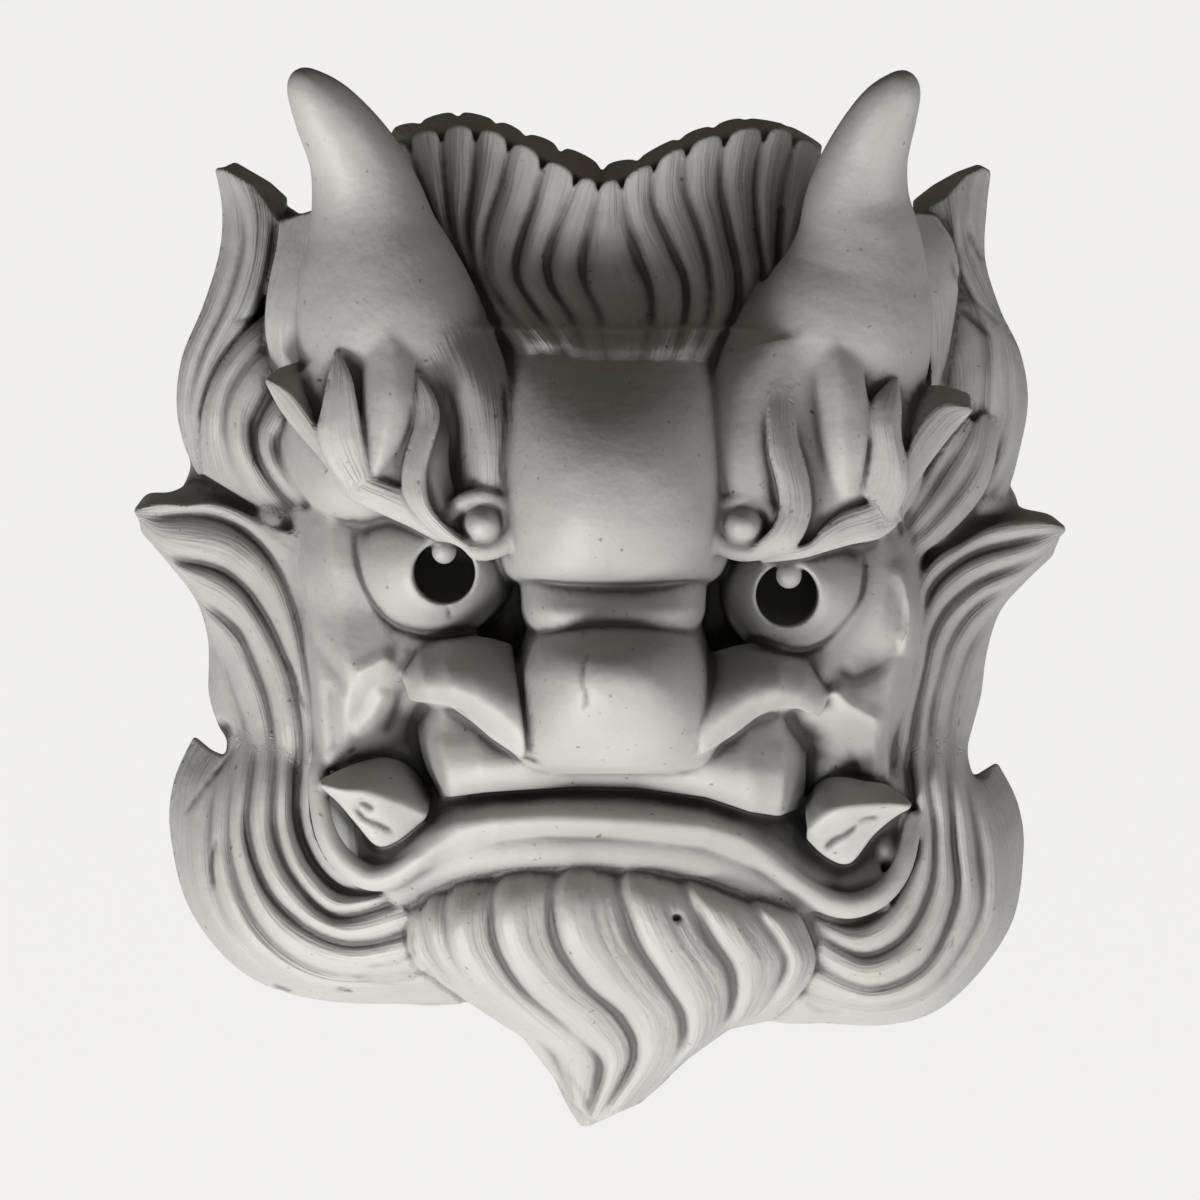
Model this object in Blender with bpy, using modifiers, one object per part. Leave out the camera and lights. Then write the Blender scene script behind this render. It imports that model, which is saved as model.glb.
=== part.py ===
"""Onigawara roof tile: a demon face of smoked clay, modelled and fired in one piece.

Sizes are in millimetres on the layout, where x runs across the face, z up it and d is the depth in front of
the wall. The layout is drawn along the sight line of someone who stands a little above the face, so `seat`
carries every finished point along that line to its place on the upright tile, in metres.
"""

import math

import bmesh
import bpy
import numpy as np
from mathutils import Euler, Matrix, Vector

MM = 0.001

# Sight line that the layout is drawn along
SIGHT_RISE = math.radians(11.0)
SIGHT_TURN = math.radians(-2.0)
SIGHT_ROLL = math.radians(1.2)
SIGHT_DISTANCE = 1800.0

# Bar across the hollow, that the tile is tied on by
BAR_HEIGHT = 5.0
BAR_TALL = 40.0
BAR_THICK = 18.0
BAR_ENDS = (-110.0, 116.0)

# Pupils bored through to the hollow, each with a peg left at its top
LEFT_PUPIL = (-53.5, 9.0)
RIGHT_PUPIL = (64.5, 1.0)
PUPIL_RADIUS = 10.6
PEG_RADIUS = 4.3
BORE_FRONT = 120.0
BORE_BACK = 50.0
PEG_FRONT = 98.0
PEG_BACK = 84.0

# Nostrils
NOSTRIL_RADII = (3.2, 3.8)
NOSTRIL_FRONT = 122.0
NOSTRIL_BACK = 100.0

# Finish of the solid
CLAY_CELL = 1.6
CLAY_SMOOTHING = 2
HOLLOW_CELL = 4.0
SOLID_TRIANGLES = 8500
HOLLOW_TRIANGLES = 700
COMB_ROWS = 24
COMB_STEPS = 4
BURIED_BACK = -1.0

NODE = "onigawara_tile"


def clear_scene():
    """Empty the scene that the script is run in."""
    for old in list(bpy.data.objects):
        bpy.data.objects.remove(old, do_unlink=True)


def new_collection(name):
    """Return a new collection linked to the scene."""
    made = bpy.data.collections.new(name)
    bpy.context.scene.collection.children.link(made)
    return made


def catmull(points, t):
    """Point of a smooth curve through rows of `points` at `t` from 0 to 1, for arrays of t."""
    rows = np.asarray(points, dtype=float)
    count = len(rows)
    place = np.clip(np.asarray(t, dtype=float), 0.0, 1.0) * (count - 1)
    first = np.minimum(place.astype(int), count - 2)
    f = (place - first)[:, None]
    p0 = rows[np.maximum(first - 1, 0)]
    p1 = rows[first]
    p2 = rows[first + 1]
    p3 = rows[np.minimum(first + 2, count - 1)]
    ease = -p0 + 3.0 * p1 - 3.0 * p2 + p3
    bend = 2.0 * p0 - 5.0 * p1 + 4.0 * p2 - p3
    return 0.5 * (2.0 * p1 + (p2 - p0) * f + bend * f * f + ease * f * f * f)


class Clay:
    """Lump of clay to which the forms are added before it is made one body."""

    def __init__(self):
        self.bm = bmesh.new()

    def add_mesh(self, mesh, matrix=None):
        """Add a copy of `mesh`, moved by `matrix`, and drop the mesh."""
        if matrix is not None:
            mesh.transform(matrix)
        self.bm.from_mesh(mesh)
        bpy.data.meshes.remove(mesh)

    def lobe(self, centre, radii, roll=0.0, square=1.0, lean=0.0, segments=32):
        """Rounded mass with its `centre` (x, z, d) and `radii` across, up and in depth.

        `roll` turns it on the face, `square` below 1 makes it boxier, and `lean` is how far it falls back
        for each millimetre of height.
        """
        part = bmesh.new()
        bmesh.ops.create_uvsphere(part, u_segments=segments, v_segments=segments // 2, radius=1.0)
        for vert in part.verts:
            for axis in range(3):
                value = vert.co[axis]
                vert.co[axis] = math.copysign(abs(value) ** square, value)
        x, z, d = centre
        scale = Matrix.Diagonal((radii[0], radii[2], radii[1], 1.0))
        turn = Euler((0.0, math.radians(-roll), 0.0)).to_matrix().to_4x4()
        slope = Matrix.Identity(4)
        slope[1][2] = lean
        bmesh.ops.transform(
            part, matrix=Matrix.Translation((x, -d, z)) @ slope @ turn @ scale, verts=part.verts
        )
        mesh = bpy.data.meshes.new("lobe")
        part.to_mesh(mesh)
        part.free()
        self.add_mesh(mesh)

    def roll_of_clay(self, points, flat=1.0):
        """Tapered roll through `points` (x, z, d, radius), `flat` times as deep as it is wide."""
        curve = bpy.data.curves.new("roll", "CURVE")
        curve.dimensions = "3D"
        curve.bevel_depth = 1.0
        curve.bevel_resolution = 3
        curve.use_fill_caps = True
        curve.resolution_u = 5
        spline = curve.splines.new("BEZIER")
        spline.bezier_points.add(len(points) - 1)
        for knot, (x, z, d, radius) in zip(spline.bezier_points, points):
            knot.co = (x, -d / flat, z)
            knot.radius = radius
            knot.handle_left_type = "AUTO"
            knot.handle_right_type = "AUTO"
        holder = bpy.data.objects.new("roll", curve)
        bpy.context.scene.collection.objects.link(holder)
        bpy.context.view_layer.update()
        mesh = bpy.data.meshes.new_from_object(holder.evaluated_get(bpy.context.evaluated_depsgraph_get()))
        bpy.data.objects.remove(holder, do_unlink=True)
        bpy.data.curves.remove(curve)
        welded = bmesh.new()
        welded.from_mesh(mesh)
        bmesh.ops.remove_doubles(welded, verts=welded.verts, dist=0.001)
        welded.to_mesh(mesh)
        welded.free()
        self.add_mesh(mesh, Matrix.Diagonal((1.0, flat, 1.0, 1.0)))

    def comb(self, guides, relief=3.0, ridges=(1.0,), locks=1, scallop=0.0, lean=0.0, foot=BURIED_BACK):
        """Block of combed hair between `guides`, the grooves that part it, or with no relief a facet.

        Each guide is a row of (x, z, d) points, and `locks` ridges stand between two guides. `relief` is
        how high the ridges stand and `ridges` the share of it that each gap takes in turn. `scallop` is the
        share of a groove's length that is cut away at its start, so that the ridges end in rounded tips.
        `lean` moves the crests towards the next guide, and the block reaches back to `foot`.
        """
        spans = len(guides) - 1
        across = spans * locks * COMB_STEPS
        sheet = bmesh.new()
        bmesh.ops.create_grid(sheet, x_segments=across, y_segments=COMB_ROWS, size=0.5)
        for vert in sheet.verts:
            u = (vert.co.x + 0.5) * spans
            left = min(int(u + 1e-6), spans - 1)
            f = u - left
            across_lock = ((f * locks) % 1.0) ** (2.0**lean)
            crest = math.sqrt(max(0.0, 1.0 - (2.0 * across_lock - 1.0) ** 2))
            start = scallop * (1.0 - crest)
            t = [start + (1.0 - start) * (vert.co.y + 0.5)]
            x, z, d = catmull(guides[left], t)[0] * (1.0 - f) + catmull(guides[left + 1], t)[0] * f
            height = relief * ridges[left % len(ridges)] * crest
            vert.co = Vector((x, -d - height, z))
        made = bmesh.ops.extrude_face_region(sheet, geom=sheet.faces[:], use_keep_orig=True)
        for item in made["geom"]:
            if isinstance(item, bmesh.types.BMVert):
                item.co.y = -foot
        bmesh.ops.recalc_face_normals(sheet, faces=sheet.faces)
        mesh = bpy.data.meshes.new("comb")
        sheet.to_mesh(mesh)
        sheet.free()
        self.add_mesh(mesh)

    def to_object(self, name):
        """Return the lump as an object."""
        mesh = bpy.data.meshes.new(name)
        self.bm.to_mesh(mesh)
        self.bm.free()
        return bpy.data.objects.new(name, mesh)


def add_skull(clay):
    """Base masses of the head, under the face and the hair."""
    clay.lobe((3.0, 0.0, 0.0), (112.0, 122.0, 76.0))
    clay.lobe((4.0, -64.0, 0.0), (98.0, 58.0, 72.0))
    clay.lobe((4.0, 76.0, 0.0), (96.0, 60.0, 68.0))
    clay.lobe((2.0, -104.0, 0.0), (84.0, 34.0, 70.0))
    for side, x, z in ((-1.0, -80.0, -77.0), (1.0, 86.0, -82.0)):
        clay.lobe((x, z, 0.0), (35.0, 38.0, 54.0))
        clay.lobe((4.0 + 102.0 * side, 70.0, 0.0), (25.0, 44.0, 48.0))
        clay.lobe((1.0 + 123.0 * side, 35.0, 0.0), (19.0, 12.0, 30.0))
        clay.lobe((2.0 + 68.0 * side, -103.0, 0.0), (22.0, 22.0, 58.0))


def add_left_hair(clay):
    """Flame, ear, side locks and bottom swirl on the left of the face."""
    clay.comb(
        [
            [(-131, 146, 18), (-128, 147, 31)],
            [(-124, 149, 10), (-120.5, 143.5, 36)],
            [(-112, 142, 10), (-113, 137, 35)],
            [(-106, 136.5, 12), (-108.5, 128, 33)],
        ],
        relief=0.0,
    )
    clay.comb(
        [
            [(-131, 147, 22), (-128.6, 124, 24), (-135, 100, 25), (-144, 72, 21), (-136, 41, 22)],
            [(-127.5, 147, 30), (-121.5, 124, 33), (-128, 99, 32), (-138.5, 71, 27), (-135.8, 42, 25)],
            [(-117, 141, 35), (-115.5, 120, 36), (-122, 97, 34), (-136, 71, 30), (-135.7, 42.5, 26)],
            [(-109, 129, 34), (-112, 112, 30), (-120, 92, 29), (-135, 69, 27), (-135.6, 43, 26)],
        ],
        relief=4.0,
    )
    clay.comb(
        [
            [(-113.5, 98, 34), (-128, 82, 34), (-136, 60, 32), (-135, 43, 29)],
            [(-111, 89, 37), (-124, 75, 38), (-128, 55, 37), (-116, 31, 42)],
            [(-108, 77, 38), (-116.5, 62, 37), (-114, 45, 40), (-102, 29, 51)],
            [(-105, 67, 50), (-110, 56, 47), (-106, 41, 53), (-96, 30, 60)],
            [(-100, 70, 64), (-98.5, 57, 62), (-95, 43, 65), (-86, 31, 74)],
        ],
        relief=4.5,
        ridges=(0.8, 1.2, 1.2, 0.6),
    )
    clay.comb(
        [
            [(-158.5, 30, 10), (-150, 36.5, 12), (-137, 40, 18), (-113, 33, 42)],
            [(-158, 31, 18), (-146, 32.5, 30), (-132, 33, 37), (-110, 26, 52)],
        ],
        relief=0.0,
    )
    clay.comb(
        [
            [
                (-158, 31, 18), (-141, 32.5, 33), (-122, 30, 43),
                (-110, 25, 50), (-100, 22, 58), (-90, 20, 66),
            ],
            [
                (-157.5, 29.5, 17), (-140, 29.5, 28), (-121, 25, 36),
                (-108, 9, 46), (-102, -14, 51), (-99, -44, 52),
            ],
            [
                (-156.5, 26, 16), (-142, 13.5, 28), (-126, 8, 36),
                (-114, -6, 41), (-107, -24, 43), (-103, -46, 44),
            ],
            [
                (-156, 23, 14), (-142, 6, 24), (-128, -6, 32),
                (-119, -20, 37), (-114, -34, 39), (-111, -54, 42),
            ],
            [
                (-155.5, 22, 12), (-141, 2, 18), (-131, -16, 23),
                (-126, -29, 27), (-122, -40, 31), (-118.5, -54, 35),
            ],
            [
                (-155, 22, 9), (-140, 4, 11), (-133.5, -12, 13),
                (-133, -26, 14), (-133, -36, 14), (-130, -48, 22),
            ],
        ],
        relief=5.5,
        ridges=(0.5, 1.2, 1.1, 1.0, 0.8),
    )
    clay.comb(
        [
            [(-98, -42, 52), (-98.5, -62, 52), (-96, -82, 54), (-88, -93, 57), (-74, -97, 62)],
            [(-102, -42, 43), (-103.5, -64, 42), (-101, -84, 43), (-90, -97.5, 46), (-74, -99, 56)],
            [(-109, -44, 45), (-111.5, -66, 45), (-108, -88, 45), (-93, -106, 49), (-68, -102, 60)],
            [(-116, -46, 42), (-120, -68, 42), (-118, -90, 43), (-100, -111, 47), (-62, -112, 60)],
            [(-123, -50, 36), (-127, -72, 38), (-124, -98, 40), (-104, -123, 43), (-56, -126, 52)],
            [(-127.5, -53, 30), (-133, -78, 34), (-129, -106, 36), (-107, -127.5, 37), (-50, -132.5, 42)],
            [(-138, -46, 14), (-146, -72, 14), (-141, -104, 14), (-112, -131.5, 14), (-47, -137, 14)],
        ],
        relief=5.0,
        ridges=(0.2, 1.1, 1.0, 1.0, 0.8, 0.8),
    )


def add_right_hair(clay):
    """Flame, ear, side locks and bottom swirl on the right of the face."""
    clay.comb(
        [
            [(106, 135.5, 12), (107.5, 131, 36)],
            [(113, 141, 10), (116, 136, 38)],
            [(121, 145.5, 12), (123, 143.5, 36)],
            [(129, 148.5, 16), (130, 147.5, 29)],
        ],
        relief=0.0,
    )
    clay.comb(
        [
            [(107, 132, 36), (109, 112, 37), (115, 88, 37), (119, 66, 40), (114, 44, 45), (104, 27, 54)],
            [(117, 137, 37), (120, 118, 35), (128, 96, 33), (131.5, 70, 35), (125, 46, 38), (111, 26, 50)],
            [(124, 145, 33), (124, 124, 32), (133, 101, 30), (140, 74, 29), (135, 48, 32), (121, 26, 44)],
            [(133, 146, 21), (131, 120, 21), (137, 97, 21), (145, 72, 19), (141, 44, 19), (134, 31, 24)],
        ],
        relief=4.0,
    )
    clay.comb(
        [
            [(102, 27, 58), (112, 47, 48), (124, 64, 40)],
            [(106, 21, 56), (122, 38, 45), (130, 64, 38)],
            [(109, 18, 54), (128, 33, 41), (136, 60, 33)],
        ],
        relief=4.0,
    )
    clay.comb(
        [
            [(158.5, 24, 10), (149, 30.5, 12), (138, 36, 18), (118, 32, 40)],
            [(158, 24.5, 18), (146, 27.2, 30), (133, 26.5, 36), (114, 16, 49)],
        ],
        relief=0.0,
    )
    clay.comb(
        [
            [(158, 25, 18), (140, 26.5, 33), (121, 18, 43), (108, 5, 52), (103, -18, 55), (97, -44, 52)],
            [(157.5, 24, 17), (140, 19, 28), (121, 12, 37), (110, -4, 45), (107, -24, 47), (99, -48, 46)],
            [
                (156.5, 22, 15), (141, 11, 26), (124, 3, 35),
                (114, -10, 40), (109.5, -30, 42), (104, -56, 44),
            ],
            [
                (155.5, 19, 13), (140, 4, 22), (125, -5, 31),
                (117, -22, 37), (113, -40, 39), (111.5, -58, 42),
            ],
            [
                (154.5, 17, 11), (138, 0, 18), (127, -14, 25),
                (121, -32, 31), (119, -44, 34), (118.5, -58, 37),
            ],
            [
                (154, 15, 9), (138, -1, 11), (131.5, -18, 13),
                (129.6, -34, 14), (127, -46, 20), (124, -62, 30),
            ],
        ],
        relief=5.5,
        ridges=(0.8, 1.1, 1.0, 0.9, 0.8),
    )
    clay.comb(
        [
            [(99, -42, 50), (102, -64, 50), (101.5, -86, 51), (92, -100, 56), (70, -101, 64)],
            [(103, -42, 43), (106.5, -66, 42), (106, -88, 43), (94, -105.5, 46), (72, -106, 58)],
            [(109, -44, 45), (113.5, -70, 44), (114, -94, 45), (101, -117, 48), (75, -114, 58)],
            [(116, -46, 42), (120, -72, 41), (121, -100, 41), (105, -129, 43), (72, -124, 54)],
            [(122, -54, 36), (128, -78, 36), (129, -106, 37), (110, -133.5, 38), (69, -134, 44)],
            [(135, -55, 14), (144, -80, 14), (139, -112, 14), (114, -139.5, 14), (62, -142.5, 14)],
        ],
        relief=5.0,
        ridges=(0.2, 1.1, 1.1, 1.0, 0.9),
    )


def add_top_hair(clay):
    """Hair swept up from the forehead to a scalloped crest, before the rim of the wall."""
    clay.comb(
        [
            [(-80, 149, 30), (-78, 146, 48), (-70, 128, 50)],
            [(-61, 163, 30), (-59, 158.5, 56), (-52, 136, 52)],
            [(-37, 162, 30), (-36, 158.5, 62), (-34, 138, 56)],
            [(-18, 156, 30), (-18, 151, 64), (-18, 134, 58)],
            [(1, 147.5, 30), (0.5, 142, 66), (0, 128, 58)],
            [(20, 154.5, 30), (19, 149.5, 65), (19, 134, 58)],
            [(39, 161, 30), (38, 157, 62), (36, 138, 56)],
            [(64, 161, 30), (62, 158.5, 56), (58, 136, 52)],
            [(78, 152.5, 30), (74, 151, 50), (68, 130, 50)],
        ],
        relief=0.0,
    )
    clay.comb(
        [
            [(-77, 152, 47), (-66, 130, 46), (-55, 109, 52), (-37, 82, 79)],
            [(-66, 158, 55), (-57, 132, 48), (-47, 109, 55), (-32, 84, 87)],
            [(-54, 161.5, 61), (-52.5, 135, 53), (-45, 110, 58), (-29, 85, 93)],
            [(-42, 162, 66), (-44, 135, 58), (-42, 111, 62), (-26, 86, 98)],
            [(-30, 157.5, 68), (-36.5, 134, 60), (-40, 112, 64), (-21, 87, 101)],
            [(-19, 151.5, 70), (-25, 128, 62), (-28, 110, 66), (-12, 86, 103)],
            [(-7, 145, 71), (-15, 124, 63), (-17, 107, 68), (-5, 84, 105)],
            [(7, 144, 71), (11, 123, 64), (17, 107, 69), (15, 84, 105)],
            [(19, 150.5, 70), (21, 128, 63), (29, 108, 67), (25, 84, 103)],
            [(30, 156, 68), (31, 132, 61), (37, 112, 65), (32, 84, 99)],
            [(43, 160, 66), (42, 134, 58), (47, 110, 62), (38, 83, 94)],
            [(57, 162, 61), (53.5, 135, 54), (56, 109, 58), (43, 82, 87)],
            [(67, 159.5, 55), (62, 133, 48), (60, 108, 54), (48, 81, 81)],
            [(77, 152, 47), (71, 129, 45), (66, 107, 51), (52, 80, 75)],
        ],
        relief=4.5,
        scallop=0.07,
    )


def add_forehead_and_nose(clay):
    """Forehead boss, bridge fold, nose bulb, wings and upper lip."""
    half_section = ((38, 42, 6), (36, 20, 4), (28, 6, 1))
    section = [(-across, drop, tuck) for across, drop, tuck in half_section]
    section += [(0, 0, 0), *reversed(half_section)]
    profile = ((96, 84), (86, 106), (72, 124), (56, 136), (40, 142.5), (24, 142), (11, 135), (5, 118))
    forehead = []
    for across, drop, tuck in section:
        column = []
        for z, d in profile:
            lift = tuck if z < 15 else 0
            column.append((4.5 + across * (1.0 - 0.001 * abs(z - 45)), z + lift, d - drop))
        forehead.append(column)
    clay.comb(forehead, relief=0.0)
    clay.lobe((4.5, 60, 52), (50.0, 34, 42), square=0.8)
    clay.lobe((4.5, 4, 70), (34.0, 16, 52), square=0.8)
    clay.roll_of_clay(
        [(-27, 3, 104, 5), (-14, -3, 116, 8), (5, -5, 119, 8.5), (22, -4, 116, 8), (36, 1, 104, 5)], 0.9
    )
    clay.lobe((5.0, -16, 80), (34, 22, 50), square=0.9)
    clay.lobe((5.5, -36, 94), (37, 20.5, 57), square=0.8)
    clay.lobe((-49, -30, 79), (18.5, 17.5, 39), roll=-12, square=0.7)
    clay.lobe((58, -32.5, 79), (18.5, 16.5, 39), roll=12, square=0.7)
    clay.roll_of_clay([(-63, -31, 86, 6), (-55, -35, 96, 7), (-43, -41, 101, 7.5), (-29, -50, 104, 6.5)])
    clay.roll_of_clay([(71, -34, 86, 6), (64, -37, 96, 7), (52, -43, 101, 7.5), (37, -51, 104, 6.5)])
    clay.comb(
        [
            [(-61, -43, 66), (-59, -54, 74), (-53, -67, 68)],
            [(-48, -43, 88), (-47, -56, 98), (-45, -66, 88)],
            [(-25, -46, 92), (-25, -57, 102), (-24, -65, 90)],
            [(2, -48, 90), (2, -57, 98), (2, -64, 86)],
            [(30, -46, 92), (31, -58, 102), (32, -67, 90)],
            [(54, -44, 88), (55, -60, 97), (55, -73, 84)],
            [(69, -46, 66), (69.5, -59, 75), (67.5, -71, 66)],
        ],
        relief=0.0,
    )


def add_horns(clay):
    """The two horns, rising from the brows and curving forward, and the lock behind each."""
    clay.roll_of_clay(
        [
            (-69, 72, 66, 31), (-71, 90, 74, 32), (-74, 105, 79, 28.5), (-76.5, 120, 84, 22.8),
            (-79, 135, 88, 19), (-83.5, 150, 94, 15.4), (-92.5, 165, 101, 11.6), (-99.5, 174, 105, 7),
            (-101.5, 177.5, 106, 3),
        ],
        0.95,
    )
    clay.roll_of_clay(
        [
            (79, 72, 66, 30), (82, 90, 74, 31), (86, 105, 79, 26), (88, 120, 84, 21.5),
            (87.5, 135, 88, 17.8), (90.5, 150, 94, 14.2), (97, 165, 101, 10.8), (102, 173, 105, 7),
            (103.5, 177, 106, 3),
        ],
        0.95,
    )
    clay.comb(
        [
            [(-109, 129, 48), (-112.5, 110, 52), (-114, 93, 48), (-110, 75, 36)],
            [(-93, 134, 60), (-97, 112, 64), (-99.5, 92, 62), (-98, 72, 54)],
        ],
        relief=4.0,
        lean=-0.5,
    )
    clay.comb(
        [
            [(97, 133, 60), (105, 112, 64), (110.5, 91, 59), (112, 68, 44)],
            [(118.5, 131, 47), (122, 113, 48), (120, 93, 42), (116.5, 72, 34)],
        ],
        relief=4.0,
        lean=0.4,
    )


def add_brows(clay):
    """Heavy brows with leaf-like locks, each between two edges, and the curl at their inner ends."""
    for side, x in ((-1.0, -74.0), (1.0, 80.0)):
        clay.lobe((x, 55, 60), (32, 32, 43), square=0.9)
        clay.lobe((x - 2.0 * side, 44, 66), (27, 18, 43), square=0.9)
        clay.lobe((3.0 + 49.0 * side, 59, 58), (21, 40, 42), square=0.85)
    leaves = [
        [
            [(-114, 74.5, 92), (-102, 56, 97), (-91, 43, 102), (-80, 32, 105)],
            [(-113.5, 75.5, 94), (-98.5, 62.5, 102), (-92, 50, 106), (-84, 40, 108)],
            [(-109, 79, 82), (-97, 72, 88), (-90, 58, 96), (-83, 46, 100)],
        ],
        [
            [(-90, 85, 102), (-94, 70, 108), (-95.5, 54, 108), (-86, 38, 106)],
            [(-89, 85.5, 104), (-83.5, 71, 111), (-80.5, 54, 112), (-78, 42, 109)],
        ],
        [
            [(-84, 96, 98), (-80.5, 76, 106), (-80.5, 58, 108), (-78, 43, 107)],
            [(-60, 93, 100), (-63, 76, 108), (-65, 59, 112), (-76, 43, 109)],
        ],
        [
            [(-65, 77.5, 104), (-63.5, 61, 111), (-67, 43, 114), (-61, 27, 116), (-50, 18, 116)],
            [(-62, 78, 106), (-54.5, 63, 115), (-59, 43, 118), (-54, 28, 119), (-42, 17.5, 117)],
        ],
        [
            [(-94, 43, 98), (-78, 31, 105), (-61, 23, 110), (-43, 16.5, 112)],
            [(-88, 48, 104), (-74, 41, 109), (-60, 32, 113), (-45, 21, 115)],
        ],
        [
            [(-52, 96, 78), (-48.5, 74, 98), (-48, 54, 103), (-49, 36, 106)],
            [(-42, 98, 82), (-42, 76, 102), (-41.5, 55, 106), (-41, 35, 108)],
            [(-29, 96, 88), (-29, 76, 106), (-30, 55, 110), (-33, 34, 112)],
        ],
        [
            [(38, 98, 84), (38, 74, 104), (39.5, 54, 109), (45, 34, 112)],
            [(58, 100, 84), (57.5, 76, 106), (57, 54, 113), (59.5, 29, 112)],
        ],
        [
            [(59, 80, 104), (57, 62, 113), (59, 44, 117), (60, 27, 119), (51, 17.5, 118)],
            [(64.5, 79, 104), (66.5, 58, 111), (71, 42, 115), (69, 22, 116), (52, 13.5, 115)],
        ],
        [
            [(72.5, 79, 102), (73.5, 64, 106), (77, 48, 108), (82, 33, 107)],
            [(88, 85, 100), (91, 68, 109), (90, 51, 111), (88, 35, 108)],
        ],
        [
            [(99.5, 75.5, 100), (91.5, 64, 107), (92, 50, 108), (89, 36, 107)],
            [(101.5, 75.5, 101), (102.5, 60, 106), (104.5, 44, 106), (99, 26, 102)],
        ],
        [
            [(127, 64.5, 86), (115, 50.5, 92), (106, 37, 95), (99, 26, 98)],
            [(126.5, 65.5, 88), (112, 63, 96), (104.5, 50, 101), (97, 34, 103)],
            [(126, 70, 78), (113, 72.5, 82), (105, 64, 90), (98, 50, 96)],
        ],
        [
            [(103, 27, 98), (88, 19.5, 105), (72, 15, 110), (54, 12.5, 112)],
            [(101, 36, 104), (85, 30.5, 109), (73, 21, 112), (56, 16, 114)],
        ],
    ]
    for leaf in leaves:
        clay.comb(leaf, relief=3.0)
    clay.lobe((-113, 28, 38), (12, 13, 16))
    clay.lobe((117, 23, 38), (12, 13, 16))
    clay.lobe((-38.5, 25, 114), (8.5, 8.5, 12))
    clay.lobe((48, 25, 114), (10, 9, 12), roll=30)


def add_eyes(clay):
    """Bulging eyeballs, each with the roll of its lower lid."""
    clay.lobe((-56.5, 11.5, 70), (28, 24.5, 33.5))
    clay.lobe((66.5, 3, 70), (25.5, 22.5, 33.5))
    clay.roll_of_clay([(-88, 26, 80, 3), (-86, 6, 81, 3.4), (-76, -10, 80, 3.6), (-56, -17, 81, 3)], 1.2)
    clay.roll_of_clay([(93, 22, 80, 3), (93, 4, 81, 3.4), (83, -14, 80, 3.6), (64, -22, 81, 3)], 1.2)


def add_cheeks(clay):
    """Cheekbones, the folds beside the nose and the bags over the mouth corners."""
    clay.comb(
        [
            [(-110, 30, 36), (-106, 0, 38), (-101.5, -30, 42), (-99.5, -60, 42)],
            [(-102, 31, 58), (-99.5, 0, 69), (-95.5, -30, 71), (-93.5, -58, 60)],
            [(-92, 29, 70), (-89.5, 0, 76), (-86, -24, 85), (-86, -56, 64)],
            [(-84, 4, 78), (-79, -12, 80), (-73, -27, 85), (-79, -54, 60)],
            [(-64, -13, 82), (-60, -22, 84), (-62, -32, 76), (-66, -54, 54)],
        ],
        relief=0.0,
    )
    clay.comb(
        [
            [(111, 28, 36), (112.5, -4, 38), (109, -28, 41), (102, -46, 42)],
            [(103, 26, 58), (105, -4, 72), (99, -30, 76), (96, -45, 70)],
            [(94, 22, 70), (95.5, -4, 78), (91, -28, 80), (89, -46, 74)],
            [(89, 6, 78), (85, -14, 75), (82, -30, 85), (83, -47, 75)],
            [(74, -18, 78), (72, -26, 84), (70.5, -38, 82), (70, -46, 72)],
        ],
        relief=0.0,
    )


def add_mouth(clay):
    """Lower lip with its shelf and rim, turned up round the mouth corners, and the fangs."""
    clay.roll_of_clay(
        [(-66, -96, 60, 9), (-36, -85, 76, 9), (0, -84, 79, 9), (32, -87, 76, 9), (66, -102, 60, 9)]
    )
    clay.comb(
        [
            [(-84, -66, 50), (-83, -78, 56), (-81.5, -90, 61), (-80, -98, 54)],
            [(-60, -64, 56), (-60, -74, 68), (-59, -84, 79), (-54, -94, 74)],
            [(-36, -58, 62), (-36, -68, 78), (-35.5, -76, 90), (-34, -84, 83)],
            [(2, -58, 64), (2, -67, 80), (2, -75, 92.5), (2, -82.5, 85)],
            [(36, -60, 62), (36, -70, 77), (35.5, -78, 89.5), (35, -86, 82)],
            [(58, -68, 54), (58, -79, 67), (57, -87, 79), (54, -95, 73)],
            [(80, -76, 48), (80, -89, 56), (79, -101, 62), (77, -111, 54)],
            [(95, -72, 46), (95, -85, 52), (97, -97, 57), (99, -104, 50)],
        ],
        relief=0.0,
    )
    clay.roll_of_clay(
        [
            (-93.5, -48, 56, 3), (-96, -66, 61, 3.4), (-92, -82, 63, 3.9), (-78, -94.5, 67, 4.4),
            (-64, -91, 68, 3),
        ],
        1.2,
    )
    clay.roll_of_clay(
        [
            (62, -94, 68, 3.2), (76, -102, 66, 5), (94, -101, 61, 5), (104.5, -86, 57, 3.6),
            (107, -76, 54, 2.5),
        ],
        1.2,
    )
    left_fang = [
        [(-95.5, -61.5, 82), (-82, -55, 67), (-70, -54, 61), (-57, -66, 58)],
        [(-95.5, -62.5, 86), (-82, -64.6, 88), (-70, -68, 85), (-58.5, -73, 79)],
        [(-95, -63.5, 84), (-84, -75, 80), (-74, -84, 76), (-59.5, -74.5, 76)],
    ]
    right_fang = [
        [(106, -69, 83), (93, -61.5, 70), (82, -60, 64), (69.5, -68, 58)],
        [(106, -69.5, 87), (94, -68, 87), (82, -69.5, 86), (70, -76, 76)],
        [(105.5, -70.8, 85), (95, -78, 81), (83, -90, 76), (70, -81, 75)],
    ]
    for fang in (left_fang, right_fang):
        clay.comb(fang, relief=1.0, foot=46.0)


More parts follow.
